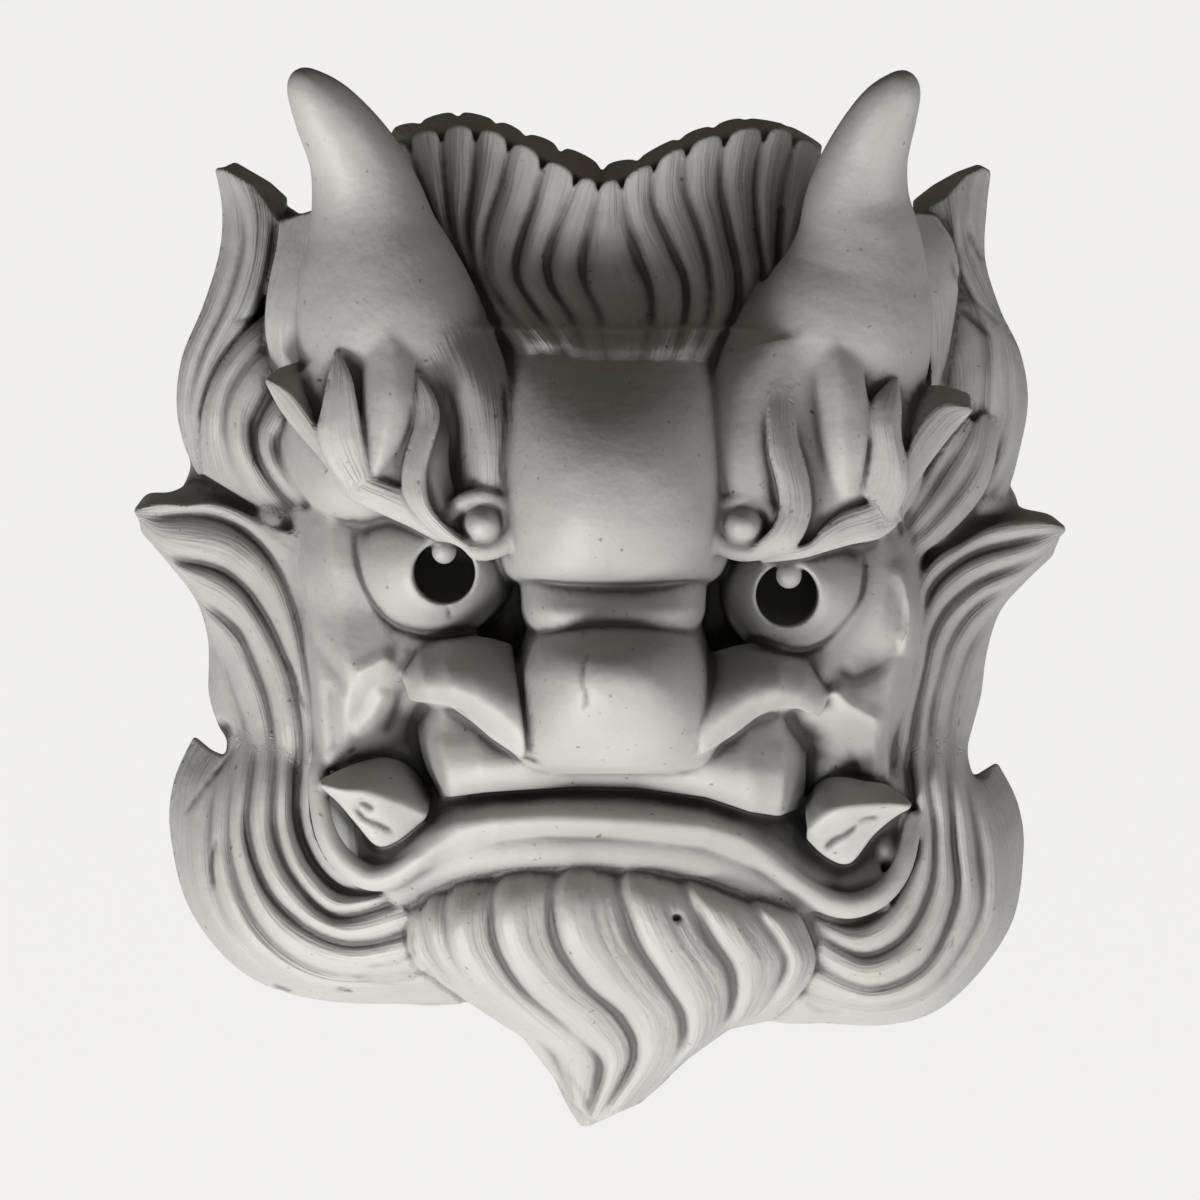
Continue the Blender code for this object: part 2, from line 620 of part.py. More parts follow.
def add_beard(clay):
    """Beard combed to a point below the chin."""
    clay.comb(
        [
            [(-64, -98, 62), (-65, -116, 59), (-55, -130, 54), (-46, -136, 42), (-40, -140, 34)],
            [(-48, -90, 77), (-52, -110, 79), (-44, -131, 67), (-28, -144, 53), (-10, -170, 30)],
            [(-31, -86, 82), (-36, -108, 84), (-28, -130, 75), (-6, -149, 59), (-4, -176, 36)],
            [(-9, -84, 86), (-15.5, -107, 86), (-6, -129, 78), (11, -148, 61), (0, -177, 38)],
            [(8, -86, 86), (9, -107, 87), (21, -129, 78), (29, -148, 60), (14, -171, 34)],
            [(26, -89, 84), (33, -107, 83), (45, -125, 73), (44, -142, 54), (30, -156, 32)],
            [(45, -96, 76), (57, -110, 76), (64, -124, 67), (58, -137, 49), (44, -146, 30)],
            [(58, -98, 68), (71, -113, 67), (72, -128, 55), (65, -138, 40), (58, -143, 26)],
        ],
        relief=6.0,
        ridges=(0.8, 1.0),
        lean=-0.6,
    )
    clay.comb(
        [
            [(-16, -160, 22), (-12, -170, 22), (-6.5, -179, 22)],
            [(-6, -160, 40), (-5, -169, 37), (-5, -179, 32)],
            [(12, -160, 40), (8, -169, 37), (-3.5, -179, 30)],
            [(24, -162, 22), (14, -170, 22), (-3, -178.6, 22)],
        ],
        relief=2.0,
    )


def cylinder(name, radius, start, end):
    """Round cutter between two layout points (x, z, d)."""
    a = Vector((start[0], -start[2], start[1]))
    b = Vector((end[0], -end[2], end[1]))
    axis = b - a
    part = bmesh.new()
    bmesh.ops.create_cone(
        part, cap_ends=True, segments=20, radius1=radius, radius2=radius, depth=axis.length
    )
    turn = axis.to_track_quat("Z", "Y").to_matrix().to_4x4()
    bmesh.ops.transform(part, matrix=Matrix.Translation((a + b) / 2.0) @ turn, verts=part.verts)
    mesh = bpy.data.meshes.new(name)
    part.to_mesh(mesh)
    part.free()
    return bpy.data.objects.new(name, mesh)


def block(name, low, high):
    """Box between two corners (x, z, d) of the layout."""
    part = bmesh.new()
    bmesh.ops.create_cube(part, size=1.0)
    size = [high[k] - low[k] for k in range(3)]
    mid = [(high[k] + low[k]) / 2.0 for k in range(3)]
    middle = Matrix.Translation((mid[0], -mid[2], mid[1]))
    matrix = middle @ Matrix.Diagonal((size[0], size[2], size[1], 1.0))
    bmesh.ops.transform(part, matrix=matrix, verts=part.verts)
    mesh = bpy.data.meshes.new(name)
    part.to_mesh(mesh)
    part.free()
    return bpy.data.objects.new(name, mesh)


def hollow_form():
    """Inside of the tile, open at the back, one wall's thickness within the head."""
    inside = Clay()
    inside.lobe((3.0, 6.0, 0.0), (86.0, 96.0, 57.0))
    inside.lobe((4.0, -62.0, 0.0), (72.0, 48.0, 56.0))
    inside.lobe((4.0, 78.0, 0.0), (66.0, 46.0, 50.0))
    inside.lobe((4.5, 34.0, 50.0), (24.0, 40.0, 64.0))
    inside.lobe((5.0, -28.0, 50.0), (24.0, 24.0, 68.0))
    inside.lobe((-62.0, 52.0, 40.0), (26.0, 36.0, 46.0))
    inside.lobe((70.0, 50.0, 40.0), (26.0, 36.0, 46.0))
    inside.lobe((-56.0, 12.0, 36.0), (22.0, 18.0, 44.0))
    inside.lobe((66.0, 4.0, 36.0), (20.0, 16.0, 44.0))
    inside.lobe((-30.0, 103.0, 0.0), (25.0, 36.0, 40.0))
    inside.lobe((34.0, 103.0, 0.0), (25.0, 35.0, 40.0))
    inside.lobe((4.5, 82.0, 28.0), (34.0, 28.0, 50.0))
    inside.lobe((-90.0, -80.0, 0.0), (27.0, 31.0, 32.0))
    inside.lobe((94.0, -88.0, 0.0), (25.0, 30.0, 32.0))
    inside.lobe((2.0, -98.0, 0.0), (52.0, 27.0, 56.0))
    return inside.to_object("hollow")


def modified(source, name):
    """Return a new object with the mesh that `source` shows after its modifiers, and drop the source."""
    bpy.context.view_layer.update()
    shown = source.evaluated_get(bpy.context.evaluated_depsgraph_get())
    mesh = bpy.data.meshes.new_from_object(shown)
    bpy.data.objects.remove(source, do_unlink=True)
    mesh.name = name
    return bpy.data.objects.new(name, mesh)


def shave_back(mesh, depth):
    """Cut off what lies behind `depth` and close the cut with one face."""
    part = bmesh.new()
    part.from_mesh(mesh)
    cut = bmesh.ops.bisect_plane(
        part, geom=part.verts[:] + part.edges[:] + part.faces[:], dist=1e-5,
        plane_co=(0.0, -depth, 0.0), plane_no=(0.0, 1.0, 0.0), clear_outer=True,
    )
    rim = [item for item in cut["geom_cut"] if isinstance(item, bmesh.types.BMEdge)]
    bmesh.ops.triangle_fill(part, edges=rim, use_beauty=True, normal=(0.0, 1.0, 0.0))
    part.to_mesh(mesh)
    part.free()


def add_remesh(item, cell, smooth):
    """Make overlapping forms one skin of clay."""
    knit = item.modifiers.new("knit", "REMESH")
    knit.mode = "VOXEL"
    knit.voxel_size = cell
    soften = item.modifiers.new("soften", "SMOOTH")
    soften.factor = 0.5
    soften.iterations = smooth


def thin_out(item, triangles):
    """Keep about `triangles` faces, fewer where the skin is plain."""
    faces = len(item.data.loop_triangles) or sum(len(face.vertices) - 2 for face in item.data.polygons)
    ratio = item.modifiers.new("thin", "DECIMATE")
    ratio.ratio = min(1.0, triangles / faces)


def boolean(item, other, operation):
    """Cut or join one object with another."""
    step = item.modifiers.new(operation.lower(), "BOOLEAN")
    step.operation = operation
    step.solver = "EXACT"
    step.object = other


def seat(mesh):
    """Carry the layout's points along the sight line to the upright tile, in metres."""
    turn = Euler((0.0, 0.0, SIGHT_TURN)).to_matrix()
    back = turn @ Vector((0.0, -math.cos(SIGHT_RISE), math.sin(SIGHT_RISE)))
    right = turn @ Vector((1.0, 0.0, 0.0))
    up = back.cross(right)
    roll_right = math.cos(SIGHT_ROLL) * right + math.sin(SIGHT_ROLL) * up
    roll_up = -math.sin(SIGHT_ROLL) * right + math.cos(SIGHT_ROLL) * up
    eye = np.array(back) * SIGHT_DISTANCE
    co = np.empty(len(mesh.vertices) * 3, dtype=np.float32)
    mesh.vertices.foreach_get("co", co)
    co = co.reshape(-1, 3).astype(float)
    drawn = co[:, :1] * np.array(roll_right) + co[:, 2:] * np.array(roll_up)
    ray = drawn - eye
    reach = (co[:, 1] - eye[1]) / ray[:, 1]
    place = eye + reach[:, None] * ray
    place[:, 2] -= BAR_HEIGHT
    mesh.vertices.foreach_set("co", (place * MM).astype(np.float32).ravel())
    mesh.update()


def clay_material():
    """Smoke-fired silver-grey clay."""
    material = bpy.data.materials.new("smoked clay")
    material.use_nodes = True
    surface = material.node_tree.nodes["Principled BSDF"]
    surface.inputs["Base Color"].default_value = (0.36, 0.36, 0.33, 1.0)
    surface.inputs["Roughness"].default_value = 0.6
    surface.inputs["Metallic"].default_value = 0.1
    return material


def clay_skin(cutters):
    """Model the face and the hair, make them one skin, open at the back, and keep its main shapes."""
    clay = Clay()
    for add_form in (
        add_skull,
        add_left_hair,
        add_right_hair,
        add_top_hair,
        add_horns,
        add_eyes,
        add_brows,
        add_cheeks,
        add_forehead_and_nose,
        add_mouth,
        add_beard,
    ):
        add_form(clay)
    lump = clay.to_object("lump")
    cutters.objects.link(lump)
    add_remesh(lump, CLAY_CELL, CLAY_SMOOTHING)
    skin = modified(lump, "skin")
    shave_back(skin.data, BURIED_BACK)
    cutters.objects.link(skin)
    thin_out(skin, SOLID_TRIANGLES)
    skin = modified(skin, "skin")
    cutters.objects.link(skin)
    return skin


def hollow_with_bar(cutters):
    """Make the cutter for the inside, with the bar's place left out of it."""
    hollow = hollow_form()
    cutters.objects.link(hollow)
    add_remesh(hollow, HOLLOW_CELL, CLAY_SMOOTHING)
    hollow = modified(hollow, "hollow")
    cutters.objects.link(hollow)
    thin_out(hollow, HOLLOW_TRIANGLES)
    hollow = modified(hollow, "hollow")
    cutters.objects.link(hollow)
    left, right = BAR_ENDS
    foot = BAR_HEIGHT - BAR_TALL / 2.0
    head = BAR_HEIGHT + BAR_TALL / 2.0
    bar = block("bar", (left, foot, -3.0 * BAR_THICK), (right, head, BAR_THICK))
    cutters.objects.link(bar)
    boolean(hollow, bar, "DIFFERENCE")
    hollow = modified(hollow, "hollow")
    cutters.objects.link(hollow)
    return hollow


def holes_and_pegs():
    """Cutters for the pupils and nostrils, and the pegs left in the pupils."""
    holes = []
    pegs = []
    for side, (x, z), shift, rise in (
        ("left", LEFT_PUPIL, (1.5, 1.0), 7.4),
        ("right", RIGHT_PUPIL, (-2.5, 2.0), 7.6),
    ):
        back = (x + shift[0], z + shift[1], BORE_BACK)
        holes.append(cylinder(side + " pupil", PUPIL_RADIUS, (x, z, BORE_FRONT), back))
        peg_back = (x, z + rise + 1.0, PEG_BACK)
        pegs.append(cylinder(side + " peg", PEG_RADIUS, (x, z + rise, PEG_FRONT), peg_back))
    for side, radius, (x, z) in zip(("left", "right"), NOSTRIL_RADII, ((-49.5, -38.0), (55.0, -44.0))):
        back = (x + math.copysign(2.0, -x), z + 10.0, NOSTRIL_BACK)
        holes.append(cylinder(side + " nostril", radius, (x, z, NOSTRIL_FRONT), back))
    return holes, pegs


def main():
    """Build the tile as one solid of fired clay."""
    clear_scene()
    parts = new_collection("Onigawara roof tile")
    cutters = new_collection("Cutters")
    skin = clay_skin(cutters)
    hollow = hollow_with_bar(cutters)
    behind = block("behind", (-220.0, -240.0, -150.0), (220.0, 240.0, 0.0))
    holes, pegs = holes_and_pegs()
    for cutter in [behind] + holes + pegs:
        cutters.objects.link(cutter)
    for cutter in [behind, hollow] + holes:
        boolean(skin, cutter, "DIFFERENCE")
    for peg in pegs:
        boolean(skin, peg, "UNION")
    tile = modified(skin, NODE)
    for cutter in list(cutters.objects):
        bpy.data.objects.remove(cutter, do_unlink=True)
    bpy.data.collections.remove(cutters)
    seat(tile.data)
    tile.data.materials.clear()
    tile.data.materials.append(clay_material())
    parts.objects.link(tile)
    tile.data.shade_smooth()


main()
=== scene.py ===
"""Onigawara roof tile: a demon face of smoked clay, shown above a pale studio floor.

The tile is one piece of fired clay. It is modelled as a clay block: a lattice that holds, at each point,
the signed distance to the skin. Lobes, rolls, bosses and combs of hair are joined to it or cut from it, a
skin is drawn over it, and the skin is carried from the layout to its place on the tile.

Layout: x runs across the face, z up it and d is the depth in front of the wall, all in millimetres, as seen
along the sight line of someone who stands a little above the face.
"""

import logging
import math
from dataclasses import dataclass
from enum import Enum
from typing import Sequence

import bpy
import numpy as np
from mathutils import Matrix, Vector


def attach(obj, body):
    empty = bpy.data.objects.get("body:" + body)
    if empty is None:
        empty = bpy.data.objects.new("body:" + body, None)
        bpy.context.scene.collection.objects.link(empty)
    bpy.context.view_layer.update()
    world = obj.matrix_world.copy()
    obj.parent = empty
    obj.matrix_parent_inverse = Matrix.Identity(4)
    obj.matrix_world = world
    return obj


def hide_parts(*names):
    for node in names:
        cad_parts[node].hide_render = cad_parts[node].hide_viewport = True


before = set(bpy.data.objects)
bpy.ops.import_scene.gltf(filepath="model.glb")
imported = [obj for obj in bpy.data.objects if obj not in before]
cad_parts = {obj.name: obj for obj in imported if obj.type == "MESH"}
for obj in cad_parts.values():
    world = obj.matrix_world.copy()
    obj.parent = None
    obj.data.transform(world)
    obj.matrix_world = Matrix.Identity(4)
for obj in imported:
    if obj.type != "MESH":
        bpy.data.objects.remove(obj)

LOG = logging.getLogger("onigawara")
NODE = "onigawara_tile"
MM = 0.001

Point = tuple[float, ...]
Rows = Sequence[Point]
Mass = tuple[Point, Point]


class Detail(Enum):
    """How finely the clay is worked: lattice pitch in millimetres and triangles kept."""

    FULL = (0.85, 198000)
    QUICK = (1.6, 90000)

    @property
    def pitch(self) -> float:
        """Lattice pitch in millimetres."""
        return self.value[0]

    @property
    def triangles(self) -> int:
        """Most triangles that the skin may keep."""
        return self.value[1]


@dataclass(frozen=True)
class Sight:
    """The sight line that the layout is drawn along, and the camera that stands on it.

    Attributes:
        rise: height of the eye above the face, in degrees.
        turn: turn of the eye to the side, in degrees.
        roll: roll of the view, in degrees.
        distance: distance of the eye, in millimetres.
        drop: how far the layout's origin lies below the tile's, in millimetres.
        half_view: half the width of the view at the wall, in millimetres.
    """

    rise: float = 11.0
    turn: float = -2.0
    roll: float = 1.2
    distance: float = 1800.0
    drop: float = 5.0
    half_view: float = 204.0

    def axes(self) -> tuple[np.ndarray, np.ndarray, np.ndarray]:
        """Directions of the view.

        Returns:
            The unit vectors to the right, up and back to the eye.
        """
        rise = math.radians(self.rise)
        turn = Matrix.Rotation(math.radians(self.turn), 3, "Z")
        back = turn @ Vector((0.0, -math.cos(rise), math.sin(rise)))
        right = turn @ Vector((1.0, 0.0, 0.0))
        up = back.cross(right)
        c, s = math.cos(math.radians(self.roll)), math.sin(math.radians(self.roll))
        return np.array(c * right + s * up), np.array(-s * right + c * up), np.array(back)

    def seat(self, points: np.ndarray) -> np.ndarray:
        """Carry layout points to the tile.

        A point (x, z, d) goes along the ray from the eye through x right and z up on the wall, until it is d
        in front of the wall.

        Args:
            points: rows of x, z and d in millimetres.

        Returns:
            Rows of world coordinates in metres.
        """
        right, up, back = self.axes()
        eye = back * self.distance
        ray = points[:, :1] * right + points[:, 1:2] * up - eye
        reach = (-points[:, 2] - eye[1]) / ray[:, 1]
        place = eye + reach[:, None] * ray
        place[:, 2] -= self.drop
        return place * MM

    def seat_normals(self, points: np.ndarray, normals: np.ndarray) -> np.ndarray:
        """Carry directions that stand square on a surface to the tile.

        Two directions along the surface are carried with their point, and the new direction is square to
        both.

        Args:
            points: rows of x, z and d.
            normals: unit directions in the layout, one for each point.

        Returns:
            Unit directions in the world.
        """
        spare = np.where(np.abs(normals[:, :1]) < 0.8, [[1.0, 0.0, 0.0]], [[0.0, 1.0, 0.0]])
        first = np.cross(normals, spare)
        second = np.cross(normals, first)
        here = self.seat(points)
        square = np.cross(self.seat(points + 0.1 * first) - here, self.seat(points + 0.1 * second) - here)
        outward = self.seat(points + 0.1 * normals) - here
        square *= np.sign(np.sum(square * outward, axis=1))[:, None]
        return square / np.maximum(np.linalg.norm(square, axis=1), 1e-12)[:, None]

    def camera(self) -> bpy.types.Object:
        """Place the scene's camera on the sight line.

        Returns:
            The camera.
        """
        right, up, back = self.axes()
        data = bpy.data.cameras.new("camera")
        data.sensor_width = 36.0
        data.lens = data.sensor_width * self.distance / (2.0 * self.half_view)
        data.clip_start = 0.05
        made = bpy.data.objects.new("camera", data)
        bpy.context.scene.collection.objects.link(made)
        turn = Matrix((right, up, back)).transposed().to_4x4()
        place = Vector(back) * self.distance * MM - Vector((0.0, 0.0, self.drop * MM))
        made.matrix_world = Matrix.Translation(place) @ turn
        bpy.context.scene.camera = made
        return made


def catmull(points: Sequence[Sequence[float]], t: np.ndarray) -> np.ndarray:
    """Smooth curve through points.

    Args:
        points: rows of any width, evenly spaced in t.
        t: places along the curve, from 0 to 1.

    Returns:
        One row for each t: the Catmull-Rom spline through the points.
    """
    rows = np.asarray(points, dtype=float)
    count = len(rows)
    place = np.clip(np.asarray(t, dtype=float), 0.0, 1.0) * (count - 1)
    first = np.minimum(place.astype(int), count - 2)
    f = (place - first)[..., None]
    p0, p1 = rows[np.maximum(first - 1, 0)], rows[first]
    p2, p3 = rows[first + 1], rows[np.minimum(first + 2, count - 1)]
    twist = -p0 + 3.0 * p1 - 3.0 * p2 + p3
    bend = 2.0 * p0 - 5.0 * p1 + 4.0 * p2 - p3
    return 0.5 * (2.0 * p1 + (p2 - p0) * f + bend * f * f + twist * f * f * f)


def ease(value: np.ndarray) -> np.ndarray:
    """Smooth step of values from 0 to 1."""
    v = np.clip(value, 0.0, 1.0)
    return v * v * (3.0 - 2.0 * v)


@dataclass(frozen=True)
class Comb:
    """Hair combed between guides, the grooves that part it, or with no relief a plain faceted patch.

    Each gap between two guides is a lock.

    Attributes:
        guides: rows of (x, z, d) points, one row for each groove.
        relief: height of the ridges above their grooves, evenly spaced along the guides.
        ridges: share of the relief that each lock takes, in turn.
        scallop: share of the length cut away at the start of each groove.
        sharp: power of the ridge's section: 0.5 is round, 1 is a low arch.
        skew: how far the crest leans to the next guide, from -1 to 1.
        foot: depth that the clay under the surface reaches back to.
        blend: width of the soft seam round it.
        strands: depth of the fine lines beside each groove.
    """

    STRAND_COUNT = 3
    STRAND_START = 0.52
    STRAND_WIDTH = 0.42
    STRAND_RELIEF = 3.0
    EDGE_STEPS = 60
    LOCK_STEPS = 8

    guides: Sequence[Rows]
    relief: Sequence[float] = (0.0, 0.0)
    ridges: Sequence[float] = (1.0,)
    scallop: float = 0.0
    sharp: float = 0.6
    skew: float = 0.0
    foot: float = -3.0
    blend: float = 0.6
    strands: float = 0.0

    def surface(self, u: np.ndarray, t: np.ndarray) -> tuple[np.ndarray, ...]:
        """Points of the loft.

        At (u, t) the point is the mix of the two guides beside u, each at t. It is raised by the relief
        at t, times the lock's share, times a ridge across the lock: 1 less the square of the way from its
        crest, to the power `sharp`. The scallop starts the grooves later than the crests. Cosine lines are
        sunk beside the next groove, as deep as `strands` where the relief is high.

        Args:
            u: place across the guides, from 0 to their count less 1.
            t: place along the guides, from 0 to 1.

        Returns:
            The x, z and depth of each point.
        """
        left = np.minimum(u.astype(int), len(self.guides) - 2)
        f = u - left
        phase = f % 1.0
        lean = phase ** (2.0 ** self.skew)
        crest = np.clip(1.0 - (2.0 * lean - 1.0) ** 2, 0.0, 1.0) ** self.sharp
        start = self.scallop * (1.0 - crest)
        along = start + (1.0 - start) * t
        point = np.zeros(u.shape + (3,))
        for n, guide in enumerate(self.guides):
            share = np.clip(1.0 - np.abs(u - n), 0.0, 1.0)
            near = share > 0.0
            point[near] += catmull(guide, along[near]) * share[near][:, None]
        height = catmull(np.asarray(self.relief, dtype=float)[:, None], along)[..., 0]
        ridge = np.resize(np.asarray(self.ridges, dtype=float), len(self.guides) - 1)[left]
        beside = np.clip((phase - self.STRAND_START) / self.STRAND_WIDTH, 0.0, 1.0)
        wave = 0.5 - 0.5 * np.cos(2.0 * math.pi * self.STRAND_COUNT * beside)
        lines = self.strands * wave * np.minimum(1.0, height / self.STRAND_RELIEF)
        return point[..., 0], point[..., 1], point[..., 2] + height * ridge * crest - lines

    def outline(self) -> np.ndarray:
        """Closed outline of the loft: first guide, far ends, last guide backwards, starts.

        Returns:
            Rows of (x, z).
        """
        spans = len(self.guides) - 1
        run = np.linspace(0.0, 1.0, self.EDGE_STEPS)
        across = np.linspace(0.0, spans, spans * self.LOCK_STEPS + 1)
        sides = [
            (np.zeros(len(run)), run),
            (across, np.ones(len(across))),
            (np.full(len(run), float(spans)), run[::-1]),
            (across[::-1], np.zeros(len(across))),
        ]
        rows = []
        for u, t in sides:
            x, z, _ = self.surface(u, t)
            rows.append(np.column_stack((x, z))[:-1])
        return np.concatenate(rows)


@dataclass
class Skin:
    """Surface drawn over a block.

    Attributes:
        points: layout points, one a row.
        quads: the four corners of each face, as rows of point numbers.
    """

    points: np.ndarray
    quads: np.ndarray


class ClayBlock:
    """Lattice of signed distances, negative inside the clay, with plan maps of its hair, its grooves and the
    soot and painted shade in them.

    The names in capitals are its corners, the distance held where no form has reached, the short lengths
    between two points of a roll, a boss and a groove, how finely a comb is sampled (the step in lattice
    steps, the samples along it for each step of its length, and the samples across a lock), and the relief
    above which a comb counts as hair.
    """

    LOW: Point = (-168.0, -188.0, -3.0)
    HIGH: Point = (168.0, 190.0, 158.0)
    FAR = 50.0
    ROLL_STEPS = 6
    BOSS_STEPS = 12
    GROOVE_STEPS = 8
    COMB_STEP = 0.34
    COMB_LENGTH = 1.3
    LOCK_SAMPLES = 12
    HAIR_RELIEF = 1.9

    def __init__(self, pitch: float) -> None:
        """Lay out an empty block.

        Args:
            pitch: distance between lattice points, in millimetres.
        """
        self.pitch = pitch
        self.low = np.array(self.LOW)
        self.count = np.ceil((np.array(self.HIGH) - self.low) / pitch).astype(int) + 1
        self.axis = [self.low[k] + pitch * np.arange(self.count[k], dtype=np.float32) for k in range(3)]
        self.field = np.full(tuple(self.count), self.FAR, dtype=np.float32)
        plan = tuple(self.count[:2])
        self.comb_across = np.zeros(plan, dtype=np.float32)
        self.comb_along = np.zeros(plan, dtype=np.float32)
        self.comb_depth = np.full(plan, -self.FAR, dtype=np.float32)
        self.carving = np.zeros(plan, dtype=np.float32)
        # Soot and painted shade laid into the grooves, which darkens the finish's colour there.
        self.groove_soot_and_shade = np.zeros(plan, dtype=np.float32)

    def window(self, low: Sequence[float], high: Sequence[float]) -> tuple[slice, ...]:
        """Part of the lattice between two corners, kept inside the block.

        Args:
            low: lower corner, in as many directions as are cut.
            high: upper corner.

        Returns:
            A slice for each direction.
        """
        first = np.floor((np.array(low) - self.low[: len(low)]) / self.pitch).astype(int)
        last = np.ceil((np.array(high) - self.low[: len(low)]) / self.pitch).astype(int) + 1
        return tuple(
            slice(max(0, int(a)), max(1, min(int(n), int(b)))) for a, b, n in zip(first, last, self.count)
        )

    def places(self, part: tuple[slice, ...]) -> list[np.ndarray]:
        """Coordinates of a part of the lattice.

        Args:
            part: a slice for each direction.

        Returns:
            One array for each direction, shaped to broadcast.
        """
        count = len(part)
        shaped = []
        for k, cut in enumerate(part):
            shape = [1] * count
            shape[k] = -1
            shaped.append(self.axis[k][cut].reshape(shape))
        return shaped

    def margin(self, blend: float) -> float:
        """How far round a form its distance is worked out: its seam and three lattice steps."""
        return blend + 3.0 * self.pitch

    def join(self, part: tuple[slice, ...], form: np.ndarray, blend: float) -> None:
        """Join a form to the clay: the least of the two distances, rounded over `blend`."""
        self.field[part] = soft_least(self.field[part], form.astype(np.float32), blend)

    def cut(self, part: tuple[slice, ...], form: np.ndarray, blend: float) -> None:
        """Cut a form from the clay: the most of its own and the form's outside, rounded over `blend`."""
        self.field[part] = -soft_least(-self.field[part], form.astype(np.float32), blend)

    def lobe_form(
        self, centre: Point, radii: Point, square: float, margin: float
    ) -> tuple[tuple[slice, ...], np.ndarray]:
        """Distance to a superellipsoid.

        With q the place from the centre divided by the radii, s is the n-norm of q, where n is 2 over
        `square`, and the distance is s - 1 over the length of the slope of s.

        Args:
            centre: x, z and d.
            radii: half sizes across, up and in depth.
            square: below 1 makes it boxier.
            margin: how far round the lobe the distance is worked out.

        Returns:
            The part of the lattice, and the distances there.
        """
        middle, reach = np.array(centre), np.array(radii) + margin
        part = self.window(middle - reach, middle + reach)
        axes = self.places(part)
        n = 2.0 / square
        total = np.zeros([axis.size for axis in axes], dtype=np.float32)
        slope = np.zeros_like(total)
        for axis, spot, radius in zip(axes, centre, radii):
            q = np.abs(axis - spot) / radius + 1e-6
            total = total + q**n
            slope = slope + (q ** (n - 1.0) / radius) ** 2
        norm = total ** (1.0 / n)
        return part, (norm - 1.0) / (np.sqrt(slope) * norm ** (1.0 - n) + 1e-6)

    def lobe(
        self, centre: Point, radii: Point, square: float = 1.0, blend: float = 1.5, sunk: bool = False
    ) -> None:
        """Add, or with `sunk` cut away, a rounded mass.

        Args:
            centre: x, z and d.
            radii: half sizes across, up and in depth.
            square: below 1 makes it boxier.
            blend: width of the soft seam.
            sunk: cuts instead of adding.
        """
        part, form = self.lobe_form(centre, radii, square, self.margin(blend))
        if sunk:
            self.cut(part, form, blend)
        else:
            self.join(part, form, blend)

    def roll_form(
        self, points: Rows, flat: float, margin: float
    ) -> tuple[tuple[slice, ...], np.ndarray]:
        """Distance to a tapered roll.

        The path is the spline through the points, cut into short straight lengths. The form is the least,
        over the lengths, of the distance to the length less its radius there, with depth measured in units
        of `flat`.

        Args:
            points: (x, z, d, radius) along the roll.
            flat: depth of the section for each unit of its height.
            margin: how far round the roll the distance is worked out.

        Returns:
            The part of the lattice, and the distances there.
        """
        path = catmull(points, np.linspace(0.0, 1.0, (len(points) - 1) * self.ROLL_STEPS + 1))
        path[:, 3] = np.maximum(path[:, 3], 0.05)
        reach = path[:, 3:4] * np.array([1.0, 1.0, flat]) + margin
        part = self.window((path[:, :3] - reach).min(axis=0), (path[:, :3] + reach).max(axis=0))
        x, z, d = self.places(part)
        d = d / flat
        form = np.full(np.broadcast_shapes(x.shape, z.shape, d.shape), self.FAR, dtype=np.float32)
        knots = path.copy()
        knots[:, 2] /= flat
        for a, b in zip(knots[:-1], knots[1:]):
            step = b - a
            size = max(1e-6, float(step[:3] @ step[:3]))
            near = self.window(
                np.minimum(a, b)[:2] - max(a[3], b[3]) - margin,
                np.maximum(a, b)[:2] + max(a[3], b[3]) + margin,
            )
            local = tuple(
                slice(max(0, n.start - p.start), max(0, n.stop - p.start)) for n, p in zip(near, part[:2])
            )
            xs, zs = x[local[0]], z[:, local[1]]
            rx, rz, rd = xs - a[0], zs - a[1], d - a[2]
            t = np.clip((rx * step[0] + rz * step[1] + rd * step[2]) / size, 0.0, 1.0)
            gap = (rx - t * step[0]) ** 2 + (rz - t * step[1]) ** 2 + (rd - t * step[2]) ** 2
            here = np.sqrt(gap) - (a[3] + t * step[3])
            form[local] = np.minimum(form[local], here)
        return part, form * min(1.0, flat)

    def roll(self, points: Rows, flat: float = 1.0, blend: float = 1.0, sunk: bool = False) -> None:
        """Add, or with `sunk` cut away, a tapered roll.

        Args:
            points: (x, z, d, radius) along the roll.
            flat: depth of the section for each unit of its height.
            blend: width of the soft seam.
            sunk: cuts instead of adding.
        """
        part, form = self.roll_form(points, flat, self.margin(blend))
        if sunk:
            self.cut(part, form, blend)
        else:
            self.join(part, form, blend)

    def boss(self, rows: Rows, base: float, power: float, blend: float) -> None:
        """Add a broad mass lofted from sections, and cut square at its ends.

        At height z the section is a superellipse of the given power, centred on x, `half` wide to each side
        and rising from `base` to `front`. With s the norm of the place in the section, the distance is s - 1
        over the length of the slope of s.

        Args:
            rows: (z, x, half, front) of each section, with z rising in order.
            base: depth that the sections rise from.
            power: power of the superellipse.
            blend: width of the soft seam.
        """
        table = catmull(rows, np.linspace(0.0, 1.0, (len(rows) - 1) * self.BOSS_STEPS + 1))
        table = table[np.argsort(table[:, 0])]
        margin = self.margin(blend)
        bottom, top = table[0, 0], table[-1, 0]
        part = self.window(
            ((table[:, 1] - table[:, 2]).min() - margin, bottom - margin, base - 4.0),
            ((table[:, 1] + table[:, 2]).max() + margin, top + margin, table[:, 3].max() + margin),
        )
        x, z, d = self.places(part)
        flat = z.ravel()
        centre = np.interp(flat, table[:, 0], table[:, 1]).reshape(z.shape)
        half = np.interp(flat, table[:, 0], table[:, 2]).reshape(z.shape)
        front = np.interp(flat, table[:, 0], table[:, 3]).reshape(z.shape)
        across = np.abs(x - centre) / half
        rise = np.maximum(d - base, 0.0) / np.maximum(front - base, 1.0)
        norm = (across**power + rise**power) ** (1.0 / power)
        slope = np.gradient(norm, self.pitch)
        length = np.sqrt(sum(g * g for g in slope)) + 1e-3
        form = (norm - 1.0) / length
        form = np.maximum(form, np.maximum(z - top, bottom - z))
